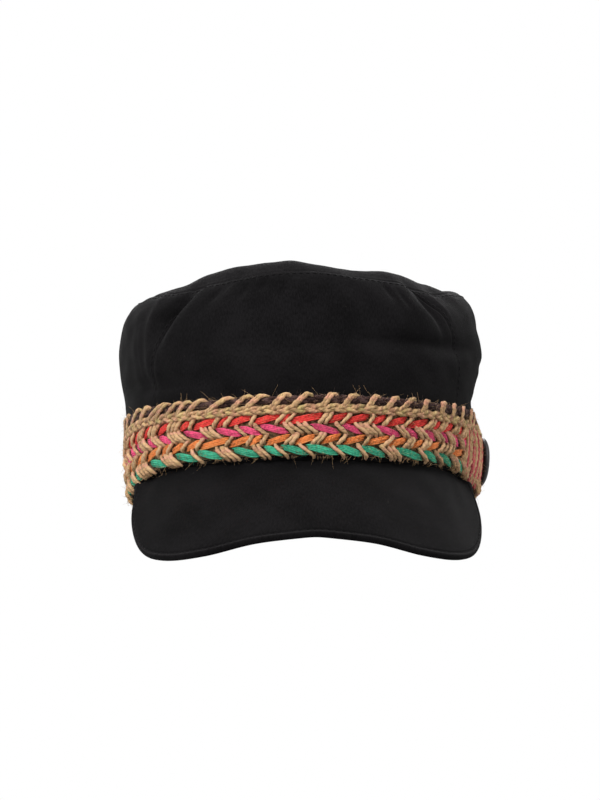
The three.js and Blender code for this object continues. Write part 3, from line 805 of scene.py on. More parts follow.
def make_peak(step, material):
    """Peak: sections from side to side, each up over the upper face and back along the lower one. Its
    root rises a little, as a bell curve, and so meets the rim that it is sewn to."""
    even = np.linspace(-1, 1, int(PEAK.across / step))
    side = PEAK.crowding * np.sin(even * np.pi / 2) + (1 - PEAK.crowding) * even
    near = np.array(NEAR_PEAK_EDGE)
    share = np.linspace(0, 1, int(PEAK.deep / step))[1:]
    depth = peak_depth(side)[:, None]
    distance = np.hstack((np.broadcast_to(near, (len(side), len(near))),
                          near[-1] + (depth - near[-1]) * share))
    sides = np.broadcast_to(side[:, None], distance.shape)
    out = 1 - distance / depth
    face = peak_surface(sides, out)
    normal = peak_normal(sides, np.clip(out, 0, 1))
    ripple = slack_relief(sides * PEAK_SLACK.arc, distance * PEAK_SLACK.stretch, PEAK_SLACK.seed,
                          PEAK_SLACK.height) * smooth(distance, *PEAK_SLACK.reach)
    relief = peak_relief(distance)
    tuck = PEAK.tuck * bell(depth - distance - CLOTH / 2, CLOTH)
    points = both_faces(face + normal * (relief + ripple + tuck)[..., None],
                        face - normal * (PEAK.thickness + relief)[..., None])
    points[..., 2] = np.maximum(points[..., 2], 0)
    # Paler strip along the edge, wear with painted highlight, at half strength on the lower face
    wear = bumps(distance, PEAK_WEAR_AND_HIGHLIGHT)
    cloth = np.stack((sides * PEAK.half_arc, distance), -1)
    return make_piece("twill_peak", points, loft_faces(points, False), material, "peak",
                      {"wear": both_faces(wear, PEAK.worn_below * wear)}, both_faces(cloth, cloth), weld=True)


# Topstitching

def stitch_row(line, normals):
    """Stitches along a line of points: short tubes that start and end in the cloth and bow out of it by
    the root of a sine."""
    steps = np.linalg.norm(np.diff(line, axis=0), axis=-1)
    place = np.append(0, steps.cumsum())
    starts = np.arange(STITCH.gap, place[-1] - STITCH.length, STITCH.length + STITCH.gap)
    t = np.linspace(0, 1, STITCH.rings)
    at = starts[:, None] + STITCH.length * t
    paths = np.stack([np.interp(at, place, column) for column in line.T], -1)
    up = unit(np.stack([np.interp(at, place, column) for column in normals.T], -1))
    paths = paths + up * (STITCH.bow * np.sqrt(np.sin(np.pi * t)) - STITCH.sunk)[:, None]
    return tubes(paths, STITCH.radius, TWISTS["thread"], up)


def make_topstitching(material):
    """Rows of stitches beside the seams of the crown and inside the rolled edge of the peak."""
    inset = FURROW.inset / ROUND
    turns = np.linspace(-180, 180, STITCH_LINE.round)
    climb = np.linspace(STITCH_LINE.foot, SEAM - STITCH_LINE.head, STITCH_LINE.climb)
    beside = side_seam(climb) + inset
    back = np.full(climb.shape, 180 - inset)
    lines = [(turns, np.full(turns.shape, SEAM - FURROW.inset))]
    lines += [(azimuth, climb) for azimuth in (beside, -beside, back, -back)]
    rows = [stitch_row(crown(azimuth, run, cloth_relief(azimuth, run)), crown_normal(azimuth, run))
            for azimuth, run in lines]
    side = np.linspace(-STITCH_LINE.peak_end, STITCH_LINE.peak_end, STITCH_LINE.peak)
    out = 1 - PEAK.groove / peak_depth(side)
    normal = peak_normal(side, out)
    rows.append(stitch_row(peak_surface(side, out) + normal * peak_relief(PEAK.groove), normal))
    points, fibre = joined(rows)
    return make_piece("topstitching", points, tube_faces(points), material,
                      "crown_front_panel", {"fibre": fibre, "tint": np.zeros(points.shape[:3])})


# Band

def lap_rise(azimuth, share):
    """Second layer of the band at the lap: full within its half arc, and thinning out towards its top."""
    turned = (azimuth + 180) % 360 - 180
    lap = 1 - smooth(np.abs(turned - LAP.azimuth), LAP.half_arc, LAP.half_arc + LAP.edge_arc)
    return LAP.thickness * lap * (1 - smooth(share, LAP.top, 1))


def bend_round(points):
    """Bends work that was laid out flat onto the crown. Flat, x is the way round from the middle of the
    front, y the height above the band's foot and z the rise off the cloth."""
    azimuth = points[..., 0] / ROUND
    run = BAND_FOOT + points[..., 1]
    sunk = fold_height((azimuth + 180) % 360 - 180, points[..., 1], SINKS)
    rise = PIECE_GAP + lap_rise(azimuth, points[..., 1] / BAND_HEIGHT)
    return crown(azimuth, run, rise + points[..., 2] * (1 - sunk))


def make_strand_piece(name, laid, tints, material):
    """One piece of the band from tubes that were laid out flat, with a tint for each."""
    points, fibre = laid
    tint = np.broadcast_to(np.reshape(tints, (-1, 1, 1)), points.shape[:3])
    return make_piece(name, bend_round(points), tube_faces(points), material, "woven_band",
                      {"fibre": fibre, "tint": tint})


def carried_round(chart, random):
    """The charted stitches, then even ones, a little unequal, round the back to the first again."""
    span = chart[0][0] + 360 - chart[-1][1]
    count = round(span / EVEN.pitch)
    pitch = span / (count + 1 - EVEN.fill)
    starts = chart[-1][1] + (1 - EVEN.fill) * pitch + pitch * np.arange(count)
    starts = starts + either_way(random, EVEN.shift, count)
    widths = EVEN.fill * pitch + random.uniform(-EVEN.narrower, EVEN.wider, count)
    return np.concatenate((np.array(chart, float), np.stack((starts, starts + widths), -1)))


def row_stitches(row):
    """Stitches of a row all the way round, and the row's own source of chance."""
    random = np.random.default_rng(ROW_SEED + int(row.low))
    return carried_round(row.chart, random), random


def along_strand(rings):
    """Shares of a short strand's length at which its rings lie, closer together towards its ends: the
    mean of even shares and of half a cosine."""
    even = np.linspace(0, 1, rings)
    return (even + (1 - np.cos(np.pi * even)) / 2) / 2


def yarn_floats(row, stitches, random):
    """Coloured stitches of one row, laid flat: each is a few strands side by side, closer at their ends,
    which climb the rest of the row along a half cosine and rise between their ends by a power of a
    sine."""
    t = along_strand(YARN.rings)
    swell = half_wave(t, BLUNT_END)
    order = (np.arange(YARN.strands) - (YARN.strands - 1) / 2)[:, None]
    shape = (len(stitches), YARN.strands, 1)
    low = stitches[:, :1, None] * ROUND - YARN.reach + either_way(random, YARN.jitter, shape)
    high = stitches[:, 1:, None] * ROUND + YARN.reach + either_way(random, YARN.jitter, shape)
    room = row.high - row.low + YARN.overlap
    middle = (row.low + row.high) / 2 + either_way(random, YARN.wander, (len(stitches), 1, 1))
    climb = room * (1 - YARN.spread) / 2
    x = low + (high - low) * t + YARN.stagger * row.lean * order
    taper = YARN.taper[row.lean]
    pitch = room * YARN.spread / YARN.strands
    apart = pitch * (YARN.fullness - taper + taper * swell ** YARN.taper_power)
    y = middle + order * apart - row.lean * climb * np.cos(np.pi * t)
    arch = YARN.arch - YARN.fall * order * order + either_way(random, YARN.uneven, shape)
    z = YARN.lift + arch * swell ** YARN.arch_power
    paths = np.stack(np.broadcast_arrays(x, y, z), -1).reshape(-1, len(t), 3)
    radius = YARN.radius * pitch * swell ** YARN.radius_power
    return tubes(paths, radius, TWISTS["yarn"], turn=random.uniform(*ANY_TURN, len(paths)))


def make_yarn_row(row, material):
    """Coloured stitches of one row, each with its own tint and its strands a little apart from it."""
    stitches, random = row_stitches(row)
    laid = yarn_floats(row, stitches, random)
    tints = np.repeat(either_way(random, YARN.stitch_tint, len(stitches)), YARN.strands)
    tints = tints + either_way(random, YARN.strand_tint, len(tints))
    return make_strand_piece(f"{row.name}_yarn", laid, tints, material)


def strand_places(stitches):
    """Azimuths of the jute strands of a row: one to a few in each gap between coloured stitches."""
    following = np.append(stitches[1:, 0], stitches[0, 0] + 360)
    places = []
    for start, end in zip(stitches[:, 1], following):
        count = int(np.clip(round((end - start) * ROUND / JUTE.pitch), 1, JUTE.most))
        places.extend(start + (end - start) * (np.arange(count) + 0.5) / count)
    return np.array(places)


def jute_strands(row, places, random):
    """Jute strands of one row, laid flat: each climbs the row with a half cosine of drift and rises over
    the yarn beside it by a power of a sine."""
    t = along_strand(JUTE.rings)
    each = (len(places), 1)
    low = row.low - JUTE.foot - JUTE.edge * (row.low == 0)
    high = row.high + JUTE.head
    drift = row.drift + either_way(random, JUTE.drift, each)
    x = places[:, None] * ROUND + either_way(random, JUTE.jitter, each)
    x = x - row.lean * drift * np.cos(np.pi * t)
    y = low + (high - low) * t + 0 * x
    tuck = 1 - smooth(y - row.low, *JUTE.tucked)
    arch = random.uniform(*JUTE.arch, each) * half_wave(t, BLUNT_END) ** JUTE.arch_power
    z = JUTE.lift + arch - JUTE.tuck * tuck
    ripple = 1 + JUTE.ripple * np.sin(JUTE.ripple_turn * t + random.uniform(*ANY_TURN, each))
    radius = random.uniform(*JUTE.radius, each) * ripple * (1 - JUTE.thinner * tuck)
    turn = random.uniform(*ANY_TURN, len(places))
    return tubes(np.stack((x, y, z), -1), radius, TWISTS["jute"], turn=turn)


def make_strands(name, rows, material, seed):
    """Jute strands of some rows, each with its own tint."""
    random = np.random.default_rng(seed)
    laid = joined([jute_strands(row, strand_places(row_stitches(row)[0]), random) for row in rows])
    return make_strand_piece(name, laid, random.uniform(*JUTE.tint, len(laid[0])), material)


def make_backing(material):
    """Woven ground of the band: a ribbon once round, waved by a product of sines, its edges turned in."""
    turns = np.linspace(-180, 180, GROUND.columns, endpoint=False) * ROUND
    height = spaced(GROUND.top - GROUND.foot, GROUND.step, NEAR_GROUND_EDGE) + GROUND.foot
    x, y = np.meshgrid(turns, height, indexing="ij")
    edge = np.minimum(y - GROUND.foot, GROUND.top - y)
    knots = GROUND.knots * np.sin(x * GROUND.knot_turn) * np.sin(y * GROUND.knot_turn)
    rise = GROUND.rise * smooth(edge, *GROUND.edge) + knots
    points = both_faces(bend_round(np.stack((x, y, rise), -1)), bend_round(np.stack((x, y, 0 * x), -1)))
    fibre = np.stack((y, rise, x), -1)
    fields = {"fibre": both_faces(fibre, fibre), "tint": np.full(points.shape[:2], GROUND.tint)}
    return make_piece("jute_backing", points, loft_faces(points, True), material,
                      "woven_band", fields)


def make_braid(braid, material):
    """Three strands laid all the way round the band, a third of a turn apart: each swings up and down by
    a sine and rises and sinks by another, with a whole number of turns round the cap."""
    order = np.arange(3)[:, None]
    x = np.linspace(-180 * ROUND, 180 * ROUND, int(360 * ROUND / braid.step))
    lay = 360 * ROUND / round(360 * ROUND / braid.lay)
    phase = 2 * np.pi * (x / lay + order / 3)
    y = (braid.low + braid.high) / 2 + waves(x, braid.wander)
    y = y + braid.swing * np.sin(phase + 2 * np.pi * braid.start)
    z = braid.lift + braid.rise * np.sin(braid.beats * phase)
    radius = braid.radius + braid.swell.height * np.sin(x / braid.swell.length + braid.lag * order)
    paths = np.stack(np.broadcast_arrays(x, y, z), -1)
    return make_strand_piece(braid.name, tubes(paths, radius, TWISTS[braid.name]), braid.tints, material)


def hook_places(random):
    """The charted hooks, then even ones, a little unequal, round the back to the first again."""
    first, final = HOOK_CHART[0][0], HOOK_CHART[-1][0]
    span = first + 360 - final
    count = round(span / HOOK.pitch)
    even = final + span * np.arange(1, count) / count + either_way(random, HOOK.shift, count - 1)
    lean = HOOK.lean + either_way(random, HOOK.uneven, count - 1)
    return np.concatenate((np.array(HOOK_CHART, float), np.stack((even, even + lean), -1)))


def make_hooks(material):
    """Jute hooks that bind the brown cord, two strands each: they come out of the plait, climb over the
    cord, bend along its top, more or less curled, and end in it."""
    random = np.random.default_rng(HOOK.seed)
    foot, crest = (np.repeat(hook_places(random), 2, 0) * ROUND).T[..., None]
    count = len(foot)
    share, past, *rest = np.array(HOOK_BENDS, float).T
    apart = np.tile((-HOOK.apart, HOOK.apart), count // 2)[:, None]
    x = foot + (crest - foot) * share + past + apart * random.uniform(*HOOK.closer, (count, 1))
    rest = np.stack(rest, -1) + either_way(random, HOOK.jitter, (count, 1, 2))
    curl = random.uniform(0, 1, count)
    rest[:, -1, 0] -= HOOK.curl_end * curl
    rest[:, -2, 0] -= HOOK.curl_before * curl
    paths = curves(np.concatenate((x[..., None], rest), -1), HOOK.rings)
    radius = random.uniform(*HOOK.radius, (count, 1))
    laid = tubes(paths, radius, TWISTS["hook"], turn=random.uniform(*ANY_TURN, count))
    return make_strand_piece("jute_hooks", laid, random.uniform(*HOOK.tint, count), material)


def upright_strands(strands, random):
    """Strands side by side that run up the band at the lap, bowed and wavy by sines, laid flat."""
    t = np.linspace(0, 1, UPRIGHT.rings)
    each = (len(strands.azimuths), 1)
    height = random.uniform(*UPRIGHT.wave, each)
    beats = random.uniform(*UPRIGHT.beats, each)
    wave = height * np.sin(beats * t + random.uniform(*ANY_TURN, each))
    x = np.reshape(strands.azimuths, each) * ROUND + wave + UPRIGHT.bow * np.sin(np.pi * t)
    foot = random.uniform(*UPRIGHT.foot, each)
    head = random.uniform(*UPRIGHT.head, each)
    y = foot + (head - foot) * t
    arch = random.uniform(*UPRIGHT.arch, each) * half_wave(t, UPRIGHT.blunt) ** UPRIGHT.arch_power
    turn = random.uniform(*ANY_TURN, len(x))
    return tubes(np.stack((x, y, strands.lift + arch), -1), strands.radius, TWISTS["upright"], turn=turn)


def make_lap_end(jute, yarn):
    """Finished end of the band at the lap: upright strands side by side with yarn between them, and two
    curled tails below."""
    random = np.random.default_rng(LAP.seed)
    upright = upright_strands(LAP_JUTE, random)
    tails = tubes(curves(np.array(TAILS, float), UPRIGHT.rings), TAIL_RADIUS, TWISTS["tail"])
    laid = joined((upright, tails))
    make_strand_piece("jute_lap_end", laid, random.uniform(*LAP_JUTE.tint, len(laid[0])), jute)
    laid = upright_strands(LAP_YARN, random)
    make_strand_piece("yarn_lap_end", laid, random.uniform(*LAP_YARN.tint, len(laid[0])), yarn)


def chance_away(away, rise, count, random):
    """Directions off the band, spread by chance, with a rise for each."""
    return unit(np.stack((random.normal(0, away.round, count), random.normal(0, away.up, count) + rise,
                          np.abs(random.normal(away.off, away.spread, count))), -1))


def make_fibres(name, roots, away, length, radius, material, random):
    """Loose fibres from roots on the band: each leaves in its own direction and bends by the square of its
    length."""
    bend = random.normal(0, FIBRE.bend, roots.shape)
    reach = random.uniform(FIBRE.shortest, 1, len(roots))[:, None, None] ** 2 * length
    t = np.linspace(0, 1, FIBRE.rings)[None, :, None]
    paths = roots[:, None] + reach * (away[:, None] * t + bend[:, None] * t * t)
    paths[..., 2] = np.maximum(paths[..., 2], FIBRE.floor)
    laid = tubes(paths, radius * np.linspace(1, FIBRE.tip, FIBRE.rings), TWISTS["fibre"])
    return make_strand_piece(name, laid, either_way(random, 1, len(roots)), material)


def make_fuzz(fuzz, count, length, material):
    """Fibres that stand off the band between two heights, and past its edges where they are near them."""
    random = np.random.default_rng(fuzz.seed)
    x = either_way(random, 180, count) * ROUND
    y = random.uniform(fuzz.low, fuzz.high, count)
    roots = np.stack((x, y, random.uniform(*FIBRE.root, count)), -1)
    rise = FUZZ_EDGE.top * (y > BAND_HEIGHT - FUZZ_EDGE.top_zone) - FUZZ_EDGE.foot * (y < FUZZ_EDGE.foot_zone)
    away = chance_away(FUZZ_AWAY, rise, count, random)
    return make_fibres(fuzz.name, roots, away, length, FIBRE.radius, material, random)


def make_yarn_fuzz(row, material):
    """Short fibres on the coloured stitches of one row, each from a chance place along a strand."""
    stitches, random = row_stitches(row)
    points, _ = yarn_floats(row, stitches, random)
    size, rings, sides = points.shape[:3]
    count = YARN_FUZZ.count
    strand = random.integers(0, size, count)
    ring = random.integers(YARN_FUZZ.bare_rings, rings - YARN_FUZZ.bare_rings, count)
    roots = points[strand, ring, random.integers(0, sides // 2 + 1, count)]
    away = chance_away(YARN_AWAY, 0, count, random)
    return make_fibres(f"{row.name}_fuzz", roots, away, YARN_FUZZ.length, YARN_FUZZ.radius, material, random)


def make_button(material):
    """Button turned about its axis: rings along a rounded outline, with its back middle and its face
    middle closed."""
    reach = np.array([place.reach * BUTTON.radius for place in BUTTON_OUTLINE], float)
    height = np.array([place.height for place in BUTTON_OUTLINE], float)
    keys = np.append(0, np.hypot(np.diff(reach), np.diff(height)).cumsum())
    outline = along(keys, np.stack((reach, height), -1), np.linspace(0, keys[-1], BUTTON.rings))
    outline[[0, -1], 0] = 0
    outline[:, 1] = np.maximum(outline[:, 1], 0)
    angle = np.linspace(0, 2 * np.pi, BUTTON.spokes, endpoint=False)[:, None]
    axis = crown_normal(BUTTON.azimuth, BUTTON.run)
    first = unit(np.cross(axis, (0.0, 0.0, 1.0)))
    spoke = np.cos(angle) * first + np.sin(angle) * np.cross(axis, first)
    centre = crown(BUTTON.azimuth, BUTTON.run, BUTTON.rest)
    points = centre + outline[None, :, :1] * spoke[:, None] + outline[None, :, 1:] * axis
    quads = loft_faces(points, True)[0].reshape(BUTTON.spokes, BUTTON.rings, 4)[:, :-1].reshape(-1, 4)
    piece = make_piece("side_button", points, [quads], material, "band_button", weld=True)
    work = bmesh.new()
    work.from_mesh(piece.data)
    bmesh.ops.recalc_face_normals(work, faces=work.faces)
    work.to_mesh(piece.data)
    work.free()
    return piece


# Materials

def put(tree, kind, sockets=None, **settings):
    """Adds a node, sets what it is given, and links the sockets that are given as sockets."""
    node = tree.nodes.new(kind)
    for name, value in settings.items():
        setattr(node, name, value)
    for name, value in (sockets or {}).items():
        if isinstance(value, bpy.types.NodeSocket):
            tree.links.new(value, node.inputs[name])
        else:
            node.inputs[name].default_value = value
    return node


def maths(tree, operation, first, second=0.0):
    """Output of a Math node."""
    return put(tree, "ShaderNodeMath", {0: first, 1: second}, operation=operation).outputs[0]


def times(tree, first, second):
    """Product of two values."""
    return maths(tree, "MULTIPLY", first, second)


def plus(tree, first, second):
    """Sum of two values."""
    return maths(tree, "ADD", first, second)


def mixed(tree, factor, first, second):
    """Output of a colour mix."""
    return put(tree, "ShaderNodeMix", {"Factor": factor, 6: first, 7: second}, data_type="RGBA").outputs[2]


def ranged(tree, value, low, high, to_low=0.0, to_high=1.0):
    """Value mapped from one range to another, and held within it."""
    sockets = {"Value": value, "From Min": low, "From Max": high, "To Min": to_low, "To Max": to_high}
    return put(tree, "ShaderNodeMapRange", sockets).outputs["Result"]


def noise(tree, place, scale, detail, **more):
    """Output of a Noise Texture."""
    sockets = {"Vector": place, "Scale": scale, "Detail": detail, **more}
    return put(tree, "ShaderNodeTexNoise", sockets).outputs["Fac"]


def attribute(tree, name, output):
    """Output of an Attribute node that reads one of the piece's own fields."""
    return put(tree, "ShaderNodeAttribute", attribute_name=name).outputs[output]


def new_group(name, inputs, outputs):
    """A shader node group with named inputs and outputs, and the outputs of its first node. Inputs are
    given with their defaults: a number, or the kind of socket where it always has a link or a value."""
    group = bpy.data.node_groups.new(name, "ShaderNodeTree")
    for label, given in inputs.items():
        kind = given if isinstance(given, str) else "Float"
        socket = group.interface.new_socket(label, in_out="INPUT", socket_type=f"NodeSocket{kind}")
        if kind == "Float":
            socket.default_value = given
    for label, kind in outputs.items():
        group.interface.new_socket(label, in_out="OUTPUT", socket_type=f"NodeSocket{kind}")
    return group, put(group, "NodeGroupInput").outputs


def twill_group():
    """Twill weave: slanted ribs of the given pitch, broken by threads across them and by noise."""
    group, given = new_group("Twill Weave", {"Cloth": "Vector", "Pitch": 0.8, "Slant": 1.1},
                             {"Height": "Float", "Shade": "Float"})
    split = put(group, "ShaderNodeSeparateXYZ", {0: given["Cloth"]}).outputs
    diagonal = plus(group, times(group, split["X"], given["Slant"]), split["Y"])
    turns = maths(group, "DIVIDE", diagonal, given["Pitch"])
    rib = maths(group, "SINE", times(group, turns, 2 * math.pi))
    cross = maths(group, "SINE", times(group, split["X"], 2 * math.pi / TWILL.cross_pitch))
    drawn = put(group, "ShaderNodeMapping", {"Vector": given["Cloth"], "Scale": (1.0, 0.35, 1.0)})
    thread = noise(group, drawn.outputs[0], 1.6, 3.0)
    height = plus(group, times(group, rib, TWILL.ribs), times(group, cross, TWILL.crossing))
    height = plus(group, height, times(group, thread, TWILL.noise))
    cloud = noise(group, given["Cloth"], 0.045, 4.0)
    shade = plus(group, times(group, thread, 0.5), times(group, cloud, 0.5))
    put(group, "NodeGroupOutput", {"Height": height, "Shade": shade})
    return group


def lint_group():
    """Lint: sparse pale specks and short hairs, from noise that is cut off high."""
    group, given = new_group("Lint Specks", {"Place": "Vector", "Amount": 0.5}, {"Mask": "Float"})
    speck = put(group, "ShaderNodeTexVoronoi", {"Vector": given["Place"], "Scale": 210.0})
    near = ranged(group, speck.outputs["Distance"], 0.09, 0.03)
    some = ranged(group, noise(group, given["Place"], 140.0, 1.0), 0.60, 0.70)
    put(group, "NodeGroupOutput", {"Mask": times(group, times(group, near, some), given["Amount"])})
    return group


def fibre_group():
    """Fibres of a twisted strand: noise stretched along it, from a dark tone in the hollows of its relief,
    which is painted shade, to a pale one on its crests, which is painted highlight, with a slow drift of the
    hue."""
    group, given = new_group(
        "Strand Fibres",
        {"Fibre": "Vector", "Tint": 0.0, "Fineness": 3.0, "Stretch": 0.25, "Drift": 0.0,
         "Dark": "Color", "Middle": "Color", "Pale": "Color"},
        {"Color": "Color", "Height": "Float", "Roughness": "Float"})
    split = put(group, "ShaderNodeSeparateXYZ", {0: given["Fibre"]}).outputs
    drawn = put(group, "ShaderNodeCombineXYZ", {
        "X": split["X"], "Y": split["Y"], "Z": times(group, split["Z"], given["Stretch"])})
    streak = noise(group, drawn.outputs[0], given["Fineness"], 5.0, Roughness=0.65)
    blotch = noise(group, given["Fibre"], 0.6, 4.0)
    level = plus(group, streak, times(group, given["Tint"], STRAND.tint))
    level = plus(group, level, ranged(group, blotch, 0.3, 0.7, -STRAND.blotch, STRAND.blotch))
    # Dark tone in the hollows of the relief is painted shade, the pale tone on its crests painted highlight
    lower = ranged(group, level, STRAND.dark, STRAND.middle)
    upper = ranged(group, level, STRAND.middle, STRAND.pale)
    colour = mixed(group, upper, mixed(group, lower, given["Dark"], given["Middle"]), given["Pale"])
    slow = noise(group, given["Fibre"], 0.16, 1.0)
    drift = times(group, ranged(group, slow, 0.3, 0.7, -1, 1), given["Drift"])
    shifted = put(group, "ShaderNodeHueSaturation", {"Hue": plus(group, drift, 0.5), "Color": colour})
    put(group, "NodeGroupOutput", {"Color": shifted.outputs["Color"], "Height": level,
                                   "Roughness": ranged(group, level, 0.3, 0.7, 0.95, 0.8)})
    return group


def shared(tree, name, build, sockets):
    """Outputs of the node group of that name, built the first time that it is asked for."""
    group = bpy.data.node_groups.get(name) or build()
    return put(tree, "ShaderNodeGroup", sockets, node_tree=group).outputs


def new_tree(item):
    """Empty node tree of a material or world."""
    item.use_nodes = True
    item.node_tree.nodes.clear()
    return item.node_tree


def surfaced(material, colour, roughness, height, strength, relief, gloss):
    """The material with its Principled BSDF, which takes colour, roughness and relief from the nodes and
    has its gloss as plain numbers."""
    tree = material.node_tree
    bump = put(tree, "ShaderNodeBump", {"Strength": strength, "Distance": relief * MM, "Height": height})
    surface = put(tree, "ShaderNodeBsdfPrincipled", {
        "Base Color": colour, "Roughness": roughness, "Normal": bump.outputs[0], **gloss})
    put(tree, "ShaderNodeOutputMaterial", {"Surface": surface.outputs[0]})
    return material


def shaded(colour, share, bleach=0.0):
    """Colour times a share, and bleached toward white for a painted highlight, as a colour socket takes it.
    """
    return (*(min(channel * share + bleach, 1) for channel in colour), 1)


def twill_material(name, settings, lift):
    """Washed black twill: weave in colour and relief, paler where the dye has rubbed off and where a
    highlight is painted on the roll of the top and along the peak's edge, and a little lint. Its colour is
    scaled by lift, which darkens the peak's copy as painted shade.
    """
    material = bpy.data.materials.new(name)
    tree = new_tree(material)
    cloth = put(tree, "ShaderNodeUVMap", uv_map="cloth").outputs["UV"]
    place = put(tree, "ShaderNodeTexCoord").outputs["Object"]
    weave = shared(tree, "Twill Weave", twill_group, {"Cloth": cloth, "Pitch": settings.twill_pitch / MM})
    lint = shared(tree, "Lint Specks", lint_group, {"Place": place, "Amount": TWILL.lint})
    # lift scales the twill's own colour; the peak's copy at 0.8 is darkened as painted shade, since it faces
    # the lamps more
    base = shaded(settings.colour, lift)[:3]
    shade = ranged(tree, weave["Shade"], 0.4, 0.6)
    colour = mixed(tree, shade, shaded(base, TWILL.deep), shaded(base, TWILL.washed))
    grain = ranged(tree, noise(tree, place, TWILL.grain, 3.0), 0.35, 0.65, 0.2, 1.0)
    # Paler where the mask says: rubbed dye, lighter crests, and painted highlight on the roll and along the
    # peak's edge
    rubbed_and_highlit = times(tree, times(tree, attribute(tree, "wear", "Fac"), grain), settings.wear)
    colour = mixed(tree, rubbed_and_highlit, colour, (*settings.worn_and_highlit_colour, 1))
    colour = mixed(tree, lint["Mask"], colour, (*linear(TWILL.lint_colour), 1))
    roughness = ranged(tree, weave["Height"], 0, 1, 0.96, 0.84)
    return surfaced(material, colour, roughness, weave["Height"], TWILL.bump, TWILL.relief, TWILL_GLOSS)


def strand_material(name, colour, finish):
    """Fibrous strand: streaks that follow its twist, in three tones of its colour, the darker and paler of
    them painted shade and painted highlight, with relief.
    """
    material = bpy.data.materials.new(name)
    tree = new_tree(material)
    fibres = shared(tree, "Strand Fibres", fibre_group, {
        "Fibre": attribute(tree, "fibre", "Vector"), "Tint": attribute(tree, "tint", "Fac"),
        "Fineness": finish.fineness, "Stretch": finish.stretch, "Drift": finish.drift,
        "Dark": shaded(colour, finish.dark), "Middle": shaded(colour, 1),
        "Pale": shaded(colour, finish.pale, finish.bleach)})
    gloss = {"Specular IOR Level": STRAND.specular, "Sheen Weight": finish.sheen,
             "Sheen Roughness": STRAND.sheen}
    return surfaced(material, fibres["Color"], fibres["Roughness"], fibres["Height"], STRAND.bump,
                    finish.relief, gloss)


def horn_material(settings):
    """Polished dark horn: slow swirls of brown, with faint scratches in its gloss."""
    material = bpy.data.materials.new("dark_horn")
    tree = new_tree(material)
    place = put(tree, "ShaderNodeTexCoord").outputs["Object"]
    swirl = ranged(tree, noise(tree, place, HORN.swirl, 4.0, Distortion=HORN.distortion), 0.4, 0.7)
    colour = mixed(tree, swirl, (*settings.colour, 1), shaded(settings.colour, HORN.pale))
    scratch = noise(tree, place, HORN.scratch, 2.0)
    roughness = ranged(tree, scratch, 0.3, 0.7, 0.38, 0.52)
    return surfaced(material, colour, roughness, scratch, HORN.bump, HORN.relief, HORN_GLOSS)


# Stage

def make_floor(settings):
    """White floor, seen as bright as the backdrop."""
    bpy.ops.mesh.primitive_plane_add(size=STAGE_SIZE, location=(0, 0, -FLOOR_DROP))
    floor = bpy.context.object
    floor.name = "floor"
    material = bpy.data.materials.new("white_floor")
    tree = new_tree(material)
    seen = put(tree, "ShaderNodeLightPath").outputs["Is Camera Ray"]
    glow = put(tree, "ShaderNodeEmission", {"Color": (*settings.floor, 1), "Strength": 1.0})
    plain = put(tree, "ShaderNodeBsdfDiffuse", {"Color": (FLOOR_BOUNCE, FLOOR_BOUNCE, FLOOR_BOUNCE, 1)})
    both = put(tree, "ShaderNodeMixShader", {0: seen, 1: plain.outputs[0], 2: glow.outputs[0]})
    put(tree, "ShaderNodeOutputMaterial", {"Surface": both.outputs[0]})
    floor.data.materials.append(material)


def make_lights():
    """Soft box lights that face the cap, and a white world that lights it less than it shows."""
    aim = Vector((0, 0, AIM_HEIGHT * MM))
    for lamp in LAMPS:
        light = bpy.data.lights.new(lamp.name, "AREA")
        light.shape = "SQUARE"
        light.size = lamp.size
        light.energy = lamp.power
        holder = bpy.data.objects.new(lamp.name, light)
        holder.location = lamp.place
        holder.rotation_euler = (aim - Vector(lamp.place)).to_track_quat("-Z", "Y").to_euler()
        bpy.context.scene.collection.objects.link(holder)
    world = bpy.data.worlds.new("white_room")
    bpy.context.scene.world = world
    tree = new_tree(world)
    strength = ranged(tree, put(tree, "ShaderNodeLightPath").outputs["Is Camera Ray"], 0, 1, ROOM_LIGHT, 1.0)
    light = put(tree, "ShaderNodeBackground", {"Color": (1, 1, 1, 1), "Strength": strength})
    put(tree, "ShaderNodeOutputWorld", {"Surface": light.outputs[0]})


def make_camera(settings):
    """Camera that faces the middle of the crown from the front, a little to the left and above."""
    camera = bpy.data.cameras.new("camera")
    camera.lens = LENS
    holder = bpy.data.objects.new("camera", camera)
    aim = Vector((AXIS[0], AXIS[1], AIM_HEIGHT)) * MM
    away = Vector((math.sin(settings.turn) * math.cos(settings.rise),
                   -math.cos(settings.turn) * math.cos(settings.rise), math.sin(settings.rise)))
    holder.location = aim + away * settings.distance
    holder.rotation_euler = (-away).to_track_quat("-Z", "Y").to_euler()
    bpy.context.scene.collection.objects.link(holder)
    bpy.context.scene.camera = holder
    bpy.context.scene.view_settings.view_transform = "Standard"


# Settings

def colour_property(name, description, code):
    """A colour setting whose default is an sRGB hex code."""
    return bpy.props.FloatVectorProperty(name=name, description=description, subtype="COLOR", size=3,
                                         min=0, max=1, default=linear(code))


def length_property(name, description, millimetres):
    """A length setting whose default is in millimetres."""
    return bpy.props.FloatProperty(name=name, description=description, subtype="DISTANCE", unit="LENGTH",
                                   min=0, precision=5, default=millimetres * MM)


def angle_property(name, description, degrees):
    """An angle setting whose default is in degrees."""
    return bpy.props.FloatProperty(name=name, description=description, subtype="ANGLE", unit="ROTATION",
                                   default=math.radians(degrees))


